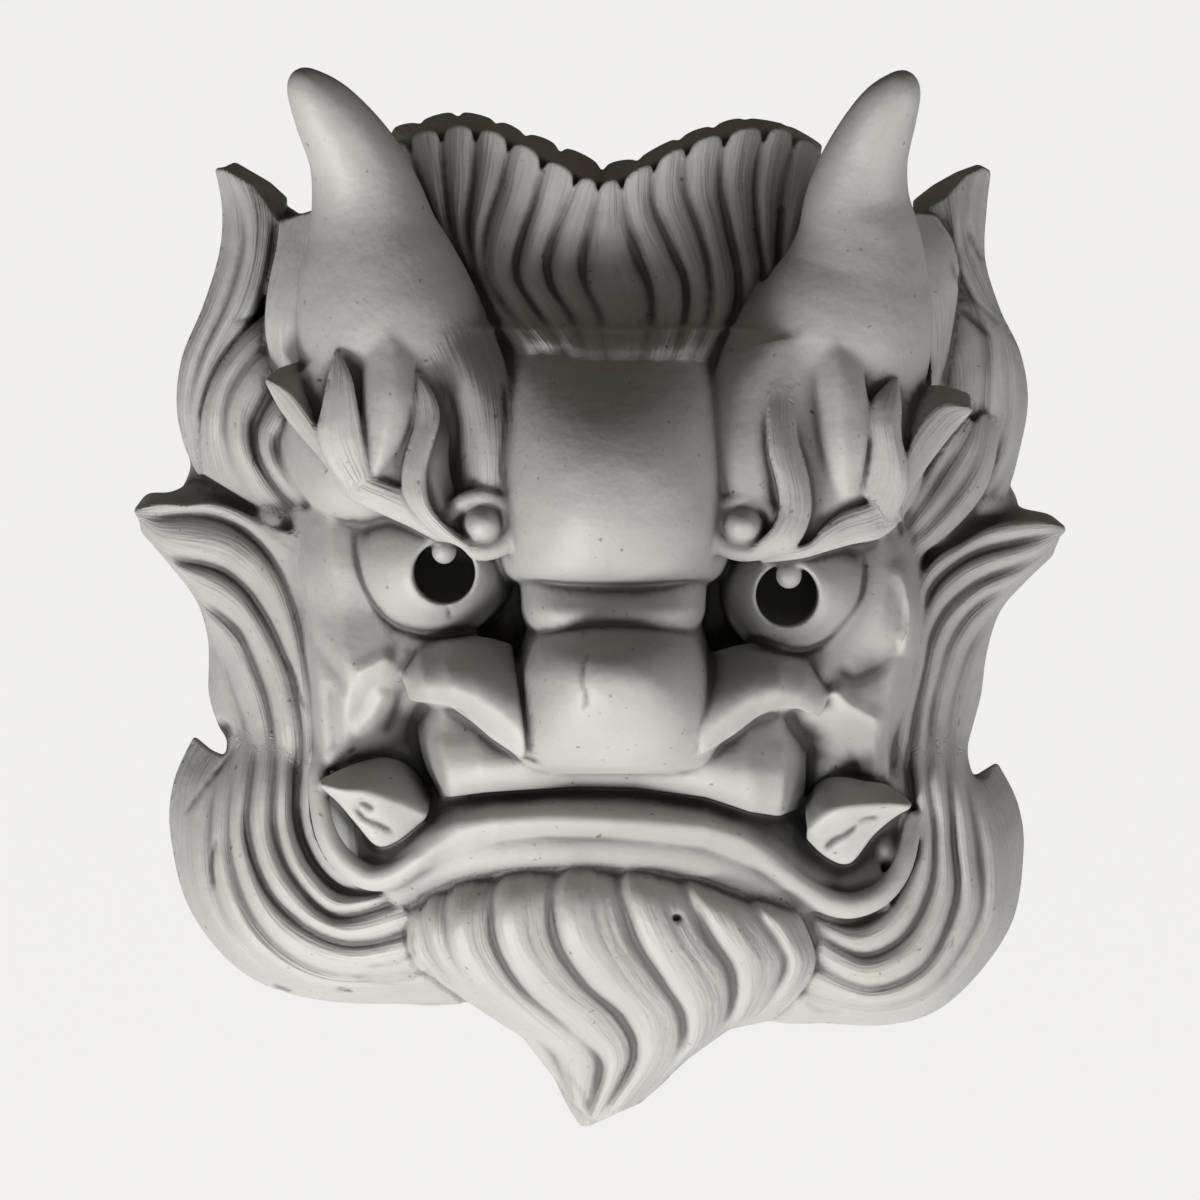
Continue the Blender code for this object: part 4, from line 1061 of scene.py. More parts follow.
TOP_HAIR = Locks([Comb([
    [(-80, 150, 30), (-78, 146, 45), (-70, 128, 50)],
    [(-72, 160.5, 30), (-69, 155, 49), (-62, 134, 50)],
    [(-62.5, 163, 30), (-59, 158.5, 53), (-52, 136, 52)],
    [(-49, 167, 30), (-47, 160, 57), (-44, 138, 54)],
    [(-34.5, 163.5, 30), (-36, 158.5, 59), (-34, 138, 56)],
    [(-26, 159.5, 30), (-24.5, 154, 61), (-24, 136, 58)],
    [(-14, 155.5, 30), (-13, 148, 62), (-13, 132, 58)],
    [(1, 148.5, 30), (0.5, 142, 63), (0, 128, 58)],
    [(12.5, 150.5, 30), (13, 146.5, 62), (13, 130, 58)],
    [(28, 158.5, 30), (25.5, 152.5, 61), (25, 136, 58)],
    [(39, 162, 30), (38, 157, 59), (36, 138, 56)],
    [(48.5, 164.5, 30), (50, 160, 57), (47, 138, 54)],
    [(64, 162, 30), (62, 158.5, 53), (58, 136, 52)],
    [(78, 153.5, 30), (74, 151, 47), (68, 130, 50)],
], relief=[2.5, 1.5, 0], sharp=0.5, scallop=0.32), Comb([
    [(-77, 152, 47), (-70, 138, 45.5), (-62, 122, 46), (-55, 109, 52), (-46, 95, 62), (-37, 82, 79),
     (-34.1, 76, 70.5)],
    [(-66, 158, 55), (-60, 140, 49.5), (-54, 124, 47), (-47, 109, 55), (-40, 96, 66), (-32, 84, 83),
     (-29.4, 78, 78.5)],
    [(-54, 161.5, 61), (-53, 143, 55.5), (-51, 126, 51), (-45, 110, 58), (-38, 97, 71), (-29, 85, 89),
     (-26.7, 79, 84.5)],
    [(-42, 162, 66), (-43, 143, 60.5), (-45, 126, 56), (-42, 111, 62), (-36, 98, 74), (-26, 86, 94),
     (-23.9, 80, 89.5)],
    [(-30, 157.5, 68), (-34, 142, 64.5), (-39, 126, 61), (-40, 112, 65), (-32, 99, 76), (-21, 87, 98),
     (-19.2, 81, 92.5)],
    [(-19, 151.5, 70), (-22, 136, 66.5), (-27, 121, 63.5), (-28, 110, 68), (-21, 98, 80), (-12, 86, 101),
     (-10.8, 80, 94.5)],
    [(-7, 145, 71), (-13, 131, 67.5), (-18, 117, 64.5), (-17, 107, 70), (-10, 96, 83), (-5, 84, 105),
     (-4.3, 78, 96.5)],
    [(0, 142.5, 71), (-3, 129, 67.5), (-6, 116, 65), (-5, 107, 71), (0, 96, 84), (2, 84, 106),
     (2.2, 78, 97.5)],
    [(7, 144, 71), (9, 129, 67.5), (13, 117, 65), (17, 107, 71), (18, 96, 84), (15, 84, 105),
     (14.3, 78, 96.5)],
    [(19, 150.5, 70), (18, 135, 66.5), (24, 120, 64), (29, 108, 69), (29, 96, 82), (25, 84, 103),
     (23.6, 78, 94.5)],
    [(30, 156, 68), (29, 140, 64.5), (34, 125, 61.5), (37, 112, 66), (37, 98, 79), (32, 84, 99),
     (30.1, 78, 90.5)],
    [(43, 160, 66), (41, 142, 60.5), (44, 125, 56), (47, 110, 62), (46, 97, 74), (38, 83, 94),
     (35.7, 77, 85.5)],
    [(57, 162, 61), (53, 143, 55.5), (54, 125, 52), (56, 109, 58), (52, 96, 70), (43, 82, 87),
     (40.3, 76, 78.5)],
    [(67, 159.5, 55), (63, 142, 49.5), (61, 124, 47), (60, 108, 54), (57, 95, 65), (48, 81, 81),
     (45, 75, 72.5)],
    [(77, 152, 47), (73, 137, 44.5), (69, 121, 44), (66, 107, 51), (62, 94, 60), (52, 80, 75),
     (48.7, 74, 66.5)],
], relief=[3, 5, 6, 7, 6.5, 3, 0], sharp=0.5, strands=1.1, scallop=0.08,
    ridges=[1, 1.1, 1.1, 1.1, 1, 1.1, 0.8, 0.9, 1.1, 1, 1.1, 1.1, 1.1, 1])])


@dataclass
class Forehead:
    """Boss between the brows, with a core behind it and the flat fold of the bridge under it.

    Attributes:
        core: centre and radii of the core.
        boss: sections (z, x, half width, front) of the boss.
        fold: sections of the fold.
    """

    core: Mass = ((4.5, 50.0, 50.0), (48.0, 32.0, 42.0))
    boss: Rows = (
        (4, 4.5, 29, 114), (9, 4.5, 37, 134), (20, 4.5, 41, 141), (33, 4.5, 42.5, 143),
        (47, 4.5, 42.5, 141), (60, 4.5, 42, 134), (72, 4.5, 41, 122), (84, 4.5, 39, 104.5),
        (92, 4.5, 35, 84), (98, 4.5, 27, 62),
    )
    fold: Rows = (
        (-13, 4.5, 20, 106), (-10, 4.5, 28, 122), (-5, 4.5, 31, 126), (1, 4.5, 31.5, 123),
        (7, 4.5, 32, 119), (13, 4.5, 32, 116),
    )

    def model(self, block: ClayBlock) -> None:
        """Add the forehead to the block.

        Args:
            block: the clay.
        """
        block.lobe(*self.core, square=0.9, blend=4.0)
        block.boss(self.boss, base=78.0, power=2.25, blend=3.0)
        block.boss(self.fold, base=70.0, power=4.0, blend=1.0)


@dataclass
class Nose:
    """Nose bulb, its wings, and the upper lip.

    Attributes:
        bulb: sections (z, x, half width, front) of the bulb.
        cores: centre and radii of the masses behind the wings.
        wings: wings over the nostrils, with guides that run down the face.
        lip: upper lip, with guides that run down the face.
    """

    bulb: Rows = (
        (-59, 5, 26, 106), (-56, 5, 34, 124), (-49, 5, 37.5, 138), (-41, 5.5, 38, 146),
        (-33, 5.5, 37, 150.5), (-25, 5, 35.5, 151), (-18, 5, 33, 146), (-12, 5, 31, 134), (-6, 5, 28, 118),
    )
    cores: Sequence[Mass] = (
        ((-48, -25, 66), (16, 13, 40)),
        ((58, -27, 66), (15, 12, 40)),
    )
    wings: Sequence[Comb] = (Comb([
        [(-67, -23, 80), (-67.5, -26, 86), (-67, -30, 88), (-66, -34, 82)],
        [(-61, -15, 84), (-61, -22, 99), (-60, -29, 107), (-59, -35, 102)],
        [(-52, -12, 86), (-52, -20, 108), (-51, -29, 116), (-51, -36, 110)],
        [(-44, -12, 88), (-43, -21, 112), (-42, -32, 120), (-44, -41, 113)],
        [(-37, -13, 90), (-35, -24, 114), (-34, -37, 122), (-37, -47, 115)],
        [(-30, -15, 90), (-28, -28, 116), (-26, -44, 123), (-25, -55, 117)],
    ], foot=84, blend=1.2), Comb([
        [(76, -27, 80), (77, -31, 86), (76.5, -36, 87), (75.5, -41, 81)],
        [(70, -19, 84), (70.5, -26, 99), (69, -32, 106), (68, -37, 101)],
        [(60, -15, 86), (61, -23, 109), (61, -30.5, 116), (60, -36.5, 110)],
        [(51, -14.5, 88), (52, -24, 113), (52, -33.5, 120), (53, -40, 113)],
        [(44, -16, 90), (44, -27, 114), (43.5, -38, 122), (46, -45.5, 115)],
        [(38, -18, 90), (37, -31, 116), (35, -44, 123), (34, -53, 117)],
    ], foot=84, blend=1.2))
    lip: Comb = Comb([
        [(-62, -30, 58), (-62, -43, 62), (-61, -50, 65), (-59, -57, 66), (-56, -63, 65), (-54, -67, 62)],
        [(-54, -30, 78), (-54, -43, 80), (-54, -50, 85), (-53, -57, 87), (-52, -63, 85), (-51, -67, 78)],
        [(-42, -30, 86), (-42, -43, 88), (-42, -50, 92), (-41, -57, 94), (-40, -62, 91), (-39, -65.4, 84)],
        [(-26, -34, 88), (-26, -46, 90), (-26, -52, 94), (-25, -57, 95), (-25, -61, 92), (-24, -64.4, 85)],
        [(-8, -36, 86), (-8, -48, 88), (-8, -53, 90), (-8, -57, 90), (-8, -61, 87), (-8, -63.5, 82)],
        [(12, -36, 86), (12, -48, 88), (12, -53, 90), (12, -57, 90), (12, -61, 87), (12, -63.8, 82)],
        [(32, -34, 88), (32, -46, 90), (33, -52, 94), (34, -58, 95), (35, -63, 92), (36, -67, 85)],
        [(50, -30, 86), (50, -44, 88), (50, -52, 92), (51, -60, 94), (51, -67, 90), (51, -72, 82)],
        [(62, -30, 78), (62, -45, 80), (63, -52, 84), (63, -60, 86), (62, -68, 83), (61, -73.5, 76)],
        [(70, -32, 58), (70, -46, 62), (70, -53, 64), (70, -59, 65), (69.5, -65, 63), (68, -70.5, 58)],
    ], blend=3)

    def model(self, block: ClayBlock) -> None:
        """Add the nose to the block.

        Args:
            block: the clay.
        """
        block.comb(self.lip)
        for centre, radii in self.cores:
            block.lobe(centre, radii, square=0.9, blend=4.0)
        for wing in self.wings:
            block.comb(wing)
        block.boss(self.bulb, base=60.0, power=2.4, blend=2.0)


@dataclass
class Horn:
    """Horn that rises from a brow and curves outwards and forward to its tip.

    Attributes:
        path: (x, z, d, radius) along the horn.
    """

    path: Rows

    def model(self, block: ClayBlock) -> None:
        """Add the horn to the block."""
        block.roll(self.path, flat=0.95, blend=3.0)


LEFT_HORN = Horn([
    (-69, 70, 73, 31), (-71, 90, 77, 32), (-74, 105, 78.5, 28.5), (-76.5, 120, 80, 22.8),
    (-79, 135, 82, 19), (-83.5, 150, 87.5, 15.4), (-92.5, 165, 96, 11.6), (-99.5, 174, 101, 7),
    (-101.5, 177.5, 102, 3),
])
RIGHT_HORN = Horn([
    (79, 70, 73, 30), (82, 90, 77, 31), (86, 105, 78.5, 26), (88, 120, 80, 21.5), (87.5, 135, 82, 17.8),
    (90.5, 150, 87.5, 14.2), (97, 165, 96, 10.8), (102, 173, 101, 7), (103.5, 177, 102, 3),
])


@dataclass
class Brow:
    """Heavy brow of leaf-like locks, with a curl at its inner end.

    Attributes:
        pads: centre and radii of the masses under the locks.
        leaves: the locks.
        curl: (x, z, d, radius) along the roll of the curl.
        ball: centre and radii of the curl's middle.
    """

    pads: Sequence[Mass]
    leaves: Sequence[Comb]
    curl: Rows
    ball: Mass

    def model(self, block: ClayBlock) -> None:
        """Add the brow to the block.

        Args:
            block: the clay.
        """
        for centre, radii in self.pads:
            block.lobe(centre, radii, square=0.88, blend=3.0)
        for leaf in self.leaves:
            block.comb(leaf)
        block.roll(self.curl, flat=0.95, blend=0.3)
        block.lobe(*self.ball, blend=0.2)


LEFT_BROW = Brow(
    pads=[((-74, 56, 60), (32, 32, 43)), ((-46, 60, 58), (22, 40, 43)), ((-74, 45, 62), (27, 20, 46))],
    leaves=[Comb([
        [(-109, 70, 84), (-101, 58, 91), (-93, 46, 98), (-83, 34, 102)],
        [(-99, 80, 92), (-95, 64, 98), (-89, 50, 103), (-76, 31, 104)],
        [(-84, 88, 99), (-84, 70, 104), (-79, 52, 107), (-68, 27.5, 108)],
        [(-71, 91, 102), (-70, 72, 107), (-68, 52, 110), (-59, 23.5, 111)],
        [(-60, 86, 102), (-58, 66, 107), (-58, 46, 112), (-50, 20, 113)],
        [(-50, 82, 101), (-50, 62, 102), (-51, 44, 107), (-43, 19, 111)],
    ], blend=2.5), Comb([
        [(-114, 74.5, 92), (-109, 65, 94), (-102, 56, 97), (-95, 48, 100), (-88, 39, 103), (-80, 32, 105)],
        [(-113.5, 75.5, 94), (-105, 71, 98), (-98.5, 62.5, 102), (-95, 56, 105), (-91, 48, 107),
         (-84, 40, 108)],
    ], relief=[0.5, 2, 3, 2], foot=60), Comb([
        [(-113.5, 75.5, 94), (-105, 71, 98), (-98.5, 62.5, 102), (-94, 54, 104)],
        [(-109, 79, 82), (-101, 80, 84), (-96.5, 68, 90), (-92, 58, 96)],
    ], foot=60), Comb([
        [(-90, 85, 102), (-92.5, 76, 106), (-94.5, 66, 108), (-96, 57, 108), (-93, 47, 107),
         (-86, 38, 106)],
        [(-89, 85.5, 104), (-84.5, 76, 110), (-82.5, 66, 112), (-81, 57, 112), (-79.5, 50, 111),
         (-78, 42, 109)],
    ], relief=[0.5, 2, 2.5, 2], skew=-0.4), Comb([
        [(-84, 98, 98), (-81, 80, 105), (-81, 66, 108), (-80, 54, 109), (-78, 42, 108)],
        [(-73, 102, 103), (-71, 86, 109), (-71, 71, 113), (-73, 56, 113), (-77, 42, 110)],
        [(-60, 95, 98), (-63, 79, 107), (-63.5, 66, 110), (-67, 54, 111), (-76, 42, 109)],
    ], relief=[0.3, 1, 1, 0.5, 0.3], blend=1.2), Comb([
        [(-65, 77.5, 104), (-64, 68, 108), (-63.5, 59, 111), (-66, 50, 113), (-67.5, 42, 114),
         (-66, 34, 115), (-60, 26, 116), (-50, 18, 116)],
        [(-62, 78, 106), (-56.5, 70, 112), (-54.5, 62, 115), (-57, 52, 117), (-59, 43, 118),
         (-57.5, 32, 119), (-50, 23, 119), (-42, 17.5, 117)],
    ], relief=[0.5, 2, 3, 3, 2], skew=0.4), Comb([
        [(-94, 43, 98), (-85, 34.5, 103), (-75, 29.5, 106), (-65, 25, 109), (-55, 20, 111),
         (-43, 16.5, 112)],
        [(-88, 48, 104), (-80, 43, 108), (-71, 39.5, 110), (-65, 37, 112), (-57, 29, 114), (-45, 21, 115)],
    ], relief=[1, 3, 3, 2], skew=-0.3), Comb([
        [(-70, 108, 90), (-66, 92, 99), (-56, 76, 101), (-51, 62, 99), (-50, 48, 101), (-50, 34, 104)],
        [(-58, 110, 84), (-51, 94, 96), (-45, 77, 107), (-42, 62, 112), (-41, 48, 114), (-40, 32, 113)],
        [(-46, 110, 70), (-38, 95, 84), (-32, 79, 100), (-30, 63, 110), (-30, 48, 114), (-31, 32, 113)],
    ], relief=[0.5, 1, 1.5, 2, 1.5, 1], blend=2.5, ridges=[0.6, 1])],
    curl=[
        (-51, 28, 110, 3), (-47, 33, 113, 3.2), (-40, 35, 114, 3.2), (-33, 32, 114, 3.2),
        (-29.5, 25.5, 114, 3.2), (-32.5, 19, 115, 3.2), (-39, 16.5, 115, 3.3), (-46, 18, 115, 3.4),
    ],
    ball=((-39.5, 25.6, 107), (8.4, 8.2, 14)),
)
RIGHT_BROW = Brow(
    pads=[((80, 54, 60), (31, 32, 43)), ((52, 58, 58), (20, 40, 43)), ((82, 43, 62), (26, 20, 46))],
    leaves=[Comb([
        [(50, 84, 101), (50, 66, 106), (51, 48, 112), (54, 30, 112), (52, 18, 111)],
        [(60, 88, 103), (60, 68, 109), (62, 48, 113), (65, 30, 113), (62, 16, 111)],
        [(72, 90, 103), (73, 70, 105), (75, 50, 108), (78, 34, 109), (75, 18, 108)],
        [(85, 89, 101), (86, 70, 104), (88, 52, 108), (88, 35, 107), (86, 20, 105)],
        [(97, 80, 93), (98, 66, 99), (100, 50, 103), (99, 38, 101), (98, 24, 99)],
        [(108, 70, 86), (109, 60, 91), (106, 48, 96), (104, 36, 96), (102, 27, 95)],
    ], blend=2.5), Comb([
        [(54, 108, 70), (47, 96, 84), (40, 80, 100), (38, 63, 110), (39, 48, 114), (42, 33, 114)],
        [(64, 109, 82), (58, 95, 95), (52, 80, 107), (50, 63, 113), (51, 48, 116), (52, 32, 116)],
        [(76, 108, 88), (70, 95, 98), (62, 80, 103), (58, 63, 109), (57, 48, 113), (59, 30, 114)],
    ], relief=[0.5, 1, 1.5, 1.5, 1.5, 1], blend=2.5), Comb([
        [(59, 82, 97), (57.5, 71, 107), (57, 60, 113), (57.5, 50, 116), (60, 40, 117), (61, 31, 118),
         (58, 24, 119), (51, 17.5, 118)],
        [(64.5, 81, 97), (66, 68, 106), (67, 56, 112), (69.5, 47, 114), (71.5, 38, 115), (71.5, 28, 115),
         (66, 18, 116), (52, 13.5, 115)],
    ], relief=[0.3, 2, 3, 3, 2], skew=-0.3, blend=1.2), Comb([
        [(70, 96, 97), (72, 78, 103), (73.5, 64, 106), (76, 50, 109), (81, 34, 108)],
        [(79, 100, 101), (81, 80, 109), (82, 65, 112), (83.5, 50, 113), (85, 35, 110)],
        [(88, 96, 96), (89.5, 78, 105), (91.5, 64, 108), (90.5, 50, 110), (88, 36, 108)],
    ], relief=[0.3, 1, 1, 0.5, 0.3], blend=1.2), Comb([
        [(99.5, 75.5, 100), (93, 69, 105), (91, 62, 107), (92, 54, 108), (91, 45, 108), (89, 36, 107)],
        [(101.5, 75.5, 101), (102.5, 66, 105), (102.5, 56, 107), (104.5, 46, 106), (104.5, 37, 104),
         (99, 26, 102)],
    ], relief=[0.5, 3, 4, 4, 3], skew=0.2), Comb([
        [(127, 64.5, 86), (121, 58, 89), (114, 49, 92), (109, 42, 94), (104, 34, 96), (99, 26, 98)],
        [(126.5, 65.5, 88), (117, 67, 93), (110.5, 62, 97), (106, 55, 100), (103, 46, 102), (97, 34, 103)],
    ], relief=[0.5, 2, 3, 2], foot=58), Comb([
        [(126.5, 65.5, 88), (117, 67, 93), (110.5, 62, 97), (106, 55, 100)],
        [(126, 70, 78), (116, 73, 80), (108, 71, 84), (103, 60, 92)],
    ], foot=58), Comb([
        [(103, 27, 98), (95, 21, 103), (86, 19, 106), (77, 16.5, 109), (68, 14, 111), (54, 12.5, 112)],
        [(101, 36, 104), (92, 33, 108), (82, 29.5, 110), (76, 25, 112), (70, 19, 113), (56, 16, 114)],
    ], relief=[1, 3, 3, 2], skew=-0.3)],
    curl=[
        (59, 29, 112, 3), (54.5, 33, 113, 3.2), (47, 34, 114, 3.2), (40.5, 30, 114, 3.2),
        (38.5, 24, 114, 3.2), (41.5, 18.5, 115, 3.2), (48, 16.3, 115, 3.3), (55, 17, 115, 3.4),
    ],
    ball=((48.3, 25.2, 108), (8.4, 8.0, 14)),
)


@dataclass
class Eye:
    """Bulging eyeball with a bored pupil and the peg of clay left at its top.

    Attributes:
        centre: middle of the eyeball.
        radii: its half sizes.
        pupil: (x, z, d, radius) at the front and the back of the bore.
        peg: (x, z, d, radius) at the front and the back of the peg.
    """

    centre: Point
    radii: Point
    pupil: Rows
    peg: Rows

    def model(self, block: ClayBlock) -> None:
        """Add the eyeball to the block."""
        block.lobe(self.centre, self.radii, blend=0.5)

    def bore(self, block: ClayBlock) -> None:
        """Cut the pupil through to the hollow and leave its peg."""
        block.roll(self.pupil, blend=0.8, sunk=True)
        block.roll(self.peg, blend=0.8)


LEFT_EYE = Eye(
    centre=(-56.5, 11.5, 70.0),
    radii=(28.0, 24.5, 33.5),
    pupil=[(-53.5, 9.0, 122.0, 10.5), (-52.0, 10.0, 50.0, 10.5)],
    peg=[(-53.0, 16.4, 97.0, 4.2), (-53.0, 17.8, 84.0, 4.2)],
)
RIGHT_EYE = Eye(
    centre=(66.5, 3.0, 70.0),
    radii=(25.5, 22.5, 33.5),
    pupil=[(64.5, 1.0, 122.0, 10.6), (62.0, 3.0, 50.0, 10.6)],
    peg=[(64.2, 8.2, 97.0, 4.4), (64.2, 9.6, 84.0, 4.4)],
)

CHEEKS = Locks([Comb([
    [(-110, 30, 36), (-108, 12, 38), (-105.5, -4, 38), (-102, -22, 40), (-101, -40, 42), (-99.5, -60, 42)],
    [(-102, 31, 58), (-101, 12, 68), (-99, -6, 70), (-96.5, -22, 72), (-95, -40, 68), (-93.5, -58, 60)],
    [(-92, 30, 75), (-91, 13, 80), (-88, -4, 80), (-86, -22, 85), (-86, -38, 79), (-86, -56, 64)],
    [(-81, 31, 79), (-79, 12, 83), (-74, -4, 84), (-73, -22, 86), (-77, -39, 75), (-79, -54, 60)],
    [(-72, 6, 82), (-68, -4, 83), (-65, -15, 85), (-66, -28, 82), (-69, -40, 66), (-72, -54, 56)],
    [(-56, -4, 82), (-57, -11, 83), (-58, -18, 85), (-62, -30, 77), (-64, -42, 60), (-66, -54, 54)],
    [(-36, -1, 82), (-40, -9, 83), (-46, -17, 84), (-54, -28, 78), (-59, -40, 60), (-62, -52, 54)],
], blend=3), Comb([
    [(111, 28, 36), (112, 10, 38), (112.5, -6, 38), (110.5, -22, 40), (107, -36, 42), (102, -46, 42)],
    [(103, 26, 58), (104.5, 8, 68), (105, -8, 73), (101, -22, 75), (98, -36, 74), (96, -45, 68),
     (95, -58, 56)],
    [(95, 25, 74), (97, 8, 80), (95, -7, 81), (92, -20, 77), (90, -34, 82), (89, -46, 73), (89, -60, 58)],
    [(87, 24, 80), (87, 6, 83), (83, -8, 84), (81, -22, 83), (82.5, -36, 85), (83, -47, 72), (82, -60, 56)],
    [(80, 4, 82), (78, -8, 83), (75.5, -18, 85), (75.5, -29, 86), (76.5, -38, 82), (77, -47, 69),
     (77, -60, 55)],
    [(66, -10, 82), (68, -16, 83), (70, -22, 85), (71, -32, 84), (70.5, -40, 78), (70, -46, 67),
     (71, -59, 54)],
    [(44, -6, 82), (49, -14, 83), (54, -21, 84), (60, -30, 80), (64, -40, 73), (66, -46, 66),
     (68, -58, 54)],
], blend=3), Comb([
    [(88, -38, 78), (88.5, -52, 68), (89, -66, 57)],
    [(93, -38, 78), (93, -52, 70), (93, -66, 58)],
    [(98, -38, 68), (98, -52, 61), (98, -66, 54)],
], blend=3)])


@dataclass
class Mouth:
    """Shelf and rolled rim of the lower lip, turned up round the mouth corners, the chin, and the fangs.

    Attributes:
        lip: shelf and rim, with guides that run down the face.
        chin: (x, z, d, radius) along the roll of clay under the lip.
        corners: (x, z, d, radius) along the rim round each mouth corner.
        fangs: faces of each fang, with guides that run from its tip to its root.
    """

    lip: Comb = Comb([
        [(-84, -66, 50), (-83, -78, 56), (-82, -88, 60), (-81, -94, 60), (-80, -98, 54)],
        [(-72, -66, 52), (-71, -80, 62), (-70, -88.5, 70), (-67, -95, 70), (-65, -98, 66)],
        [(-60, -64, 56), (-60, -74, 66), (-60, -82.5, 79), (-55, -90, 78), (-54, -94, 74)],
        [(-48, -60, 60), (-48, -69, 72), (-48, -76, 86), (-44, -85, 84), (-44, -88, 80)],
        [(-36, -58, 62), (-36, -66, 75), (-36, -73.8, 90), (-34, -81.2, 88), (-34, -84, 83)],
        [(-18, -58, 64), (-18, -65, 77), (-18, -72.8, 92.5), (-18, -79.5, 90), (-18, -82, 85)],
        [(2, -58, 64), (2, -65, 77), (2, -73.6, 92.5), (2, -80, 90), (2, -82.5, 85)],
        [(20, -58, 64), (20, -66, 76), (20, -74.5, 91.5), (20, -82, 89), (20, -84, 84)],
        [(36, -60, 62), (36, -68, 74), (36, -76, 89.5), (35, -83.2, 87), (35, -86, 82)],
        [(48, -63, 58), (48, -72, 69), (48, -79.6, 85), (45, -87, 83), (45, -90, 78)],
        [(58, -68, 54), (58, -78, 64), (58, -85, 79), (55, -91, 78), (54, -95, 73)],
        [(68, -72, 50), (68, -83, 58), (68, -92.3, 70), (66, -99.5, 70), (65, -103, 65)],
        [(80, -76, 48), (80, -88, 54), (80, -98, 62), (78, -108, 61), (77, -111, 54)],
        [(95, -72, 46), (95, -84, 51), (96, -94, 57), (98, -101, 55), (99, -104, 50)],
    ], blend=0.3)
    chin: Rows = ((-66, -96, 60, 9), (-36, -85, 76, 9), (0, -84, 79, 9), (32, -87, 76, 9), (66, -102, 60, 9))
    corners: Sequence[Rows] = (
        (
            (-93.5, -48, 56, 3), (-96, -60, 60, 3.2), (-95, -72, 62, 3.5), (-92, -82, 63, 3.9),
            (-86, -90, 64, 4.3), (-78, -94.5, 66, 4.4), (-70, -93.5, 70, 4.2), (-62, -88.5, 75, 3.8),
            (-54, -83.5, 78, 3.4), (-45, -79.5, 81, 2.8),
        ),
        (
            (40, -80.5, 81, 2.6), (49, -83.5, 78.5, 3.2), (58, -89.5, 75.5, 3.8), (67, -96.5, 70, 4.2),
            (76, -102, 66, 4.4), (85, -104, 63, 4.4), (94, -101, 60, 4.2), (100.5, -94.5, 57, 3.8),
            (104.5, -86, 54, 3.2), (107, -74, 49, 2.4),
        ),
    )
    fangs: Sequence[Comb] = (Comb([
        [(-95.5, -61.5, 82), (-88, -57.5, 73), (-80, -54.5, 66), (-72, -53.5, 62), (-64, -57, 59),
         (-57, -66, 58)],
        [(-95.5, -62.5, 86), (-88, -64.5, 88), (-80, -64.8, 88), (-72, -67.5, 86), (-65, -70, 83),
         (-58.5, -73, 79)],
        [(-95, -63.5, 84), (-89, -69, 82), (-83, -76, 79), (-76, -83.5, 76), (-69, -82, 76),
         (-59.5, -74.5, 76)],
    ], relief=[0.3, 1, 1], foot=48, blend=0.2), Comb([
        [(106, -69, 83), (98, -63, 74), (90, -61.5, 68), (82, -60, 64), (75, -61.5, 61), (69.5, -68, 58)],
        [(106, -69.5, 86), (99, -67, 83), (91, -66.5, 82), (83, -67, 80), (76, -69, 77), (70, -74, 72)],
        [(106, -70, 87), (98, -69.4, 88), (90, -69.6, 88), (82, -70.4, 87), (76, -73, 84), (70.5, -78, 79)],
        [(105.5, -70.8, 85), (100, -74, 83), (93, -80, 80), (85, -89.5, 76), (77, -87.5, 75),
         (70, -81, 75)],
    ], relief=[0.2, 0.6, 0.6], foot=46, blend=0.2))

    def model(self, block: ClayBlock) -> None:
        """Add the mouth to the block.

        Args:
            block: the clay.
        """
        block.roll(self.chin)
        block.comb(self.lip)
        for path in self.corners:
            block.roll(path, flat=1.2, blend=2.0)
        for fang in self.fangs:
            block.comb(fang)


BEARD = Locks([Comb([
    [(-64, -98, 62), (-66, -110, 60), (-64, -122, 58), (-55, -130, 54), (-46, -136, 44), (-40, -140, 36)],
    [(-58, -95, 62), (-60, -108, 70), (-57, -120, 67), (-48, -131, 58), (-38, -139, 46), (-26, -149, 34)],
    [(-48, -90, 69), (-52, -106, 79), (-51, -119, 77), (-43, -132, 66), (-30, -143, 54), (-16, -154, 42),
     (-10, -170, 30)],
    [(-31, -86, 74), (-36, -102, 84), (-35, -117, 82), (-26, -132, 73), (-10, -146, 62), (1, -158, 50),
     (-4, -176, 36)],
    [(-9, -84, 78), (-15.5, -100, 87), (-14, -116, 85), (-5, -130, 77), (8, -142, 66), (12, -156, 54),
     (0, -177, 38)],
    [(8, -86, 78), (8, -100, 87), (13, -116, 85), (22, -130, 77), (29, -142, 66), (27, -156, 52),
     (14, -171, 34)],
    [(26, -89, 76), (31, -101, 84), (38, -114, 81), (45, -125, 73), (46, -136, 62), (42, -146, 48),
     (30, -156, 32)],
    [(45, -96, 68), (54, -106, 77), (61, -116, 74), (64, -124, 67), (60, -134, 56), (54, -141, 42),
     (44, -146, 30)],
    [(58, -98, 60), (67, -106, 68), (72, -116, 65), (73, -125, 59), (68, -134, 48), (62, -140, 36),
     (58, -143, 26)],
], relief=[0.5, 6.5, 8.5, 8.5, 7.5, 6], skew=-0.7, sharp=0.8, strands=1.6,
    ridges=[0.5, 0.8, 1, 1, 1.1, 1.1, 1, 0.8]), Comb([
    [(-16, -160, 22), (-14, -166, 22), (-10.5, -173, 22), (-6.5, -179, 22)],
    [(-6, -160, 40), (-5, -166, 38), (-5, -172, 36), (-5, -179, 32)],
    [(12, -160, 40), (9, -166, 38), (6, -172, 36), (-3.5, -179, 30)],
    [(24, -162, 22), (18, -167, 22), (9, -172.5, 22), (-3, -178.6, 22)],
], relief=[2, 2, 1])])


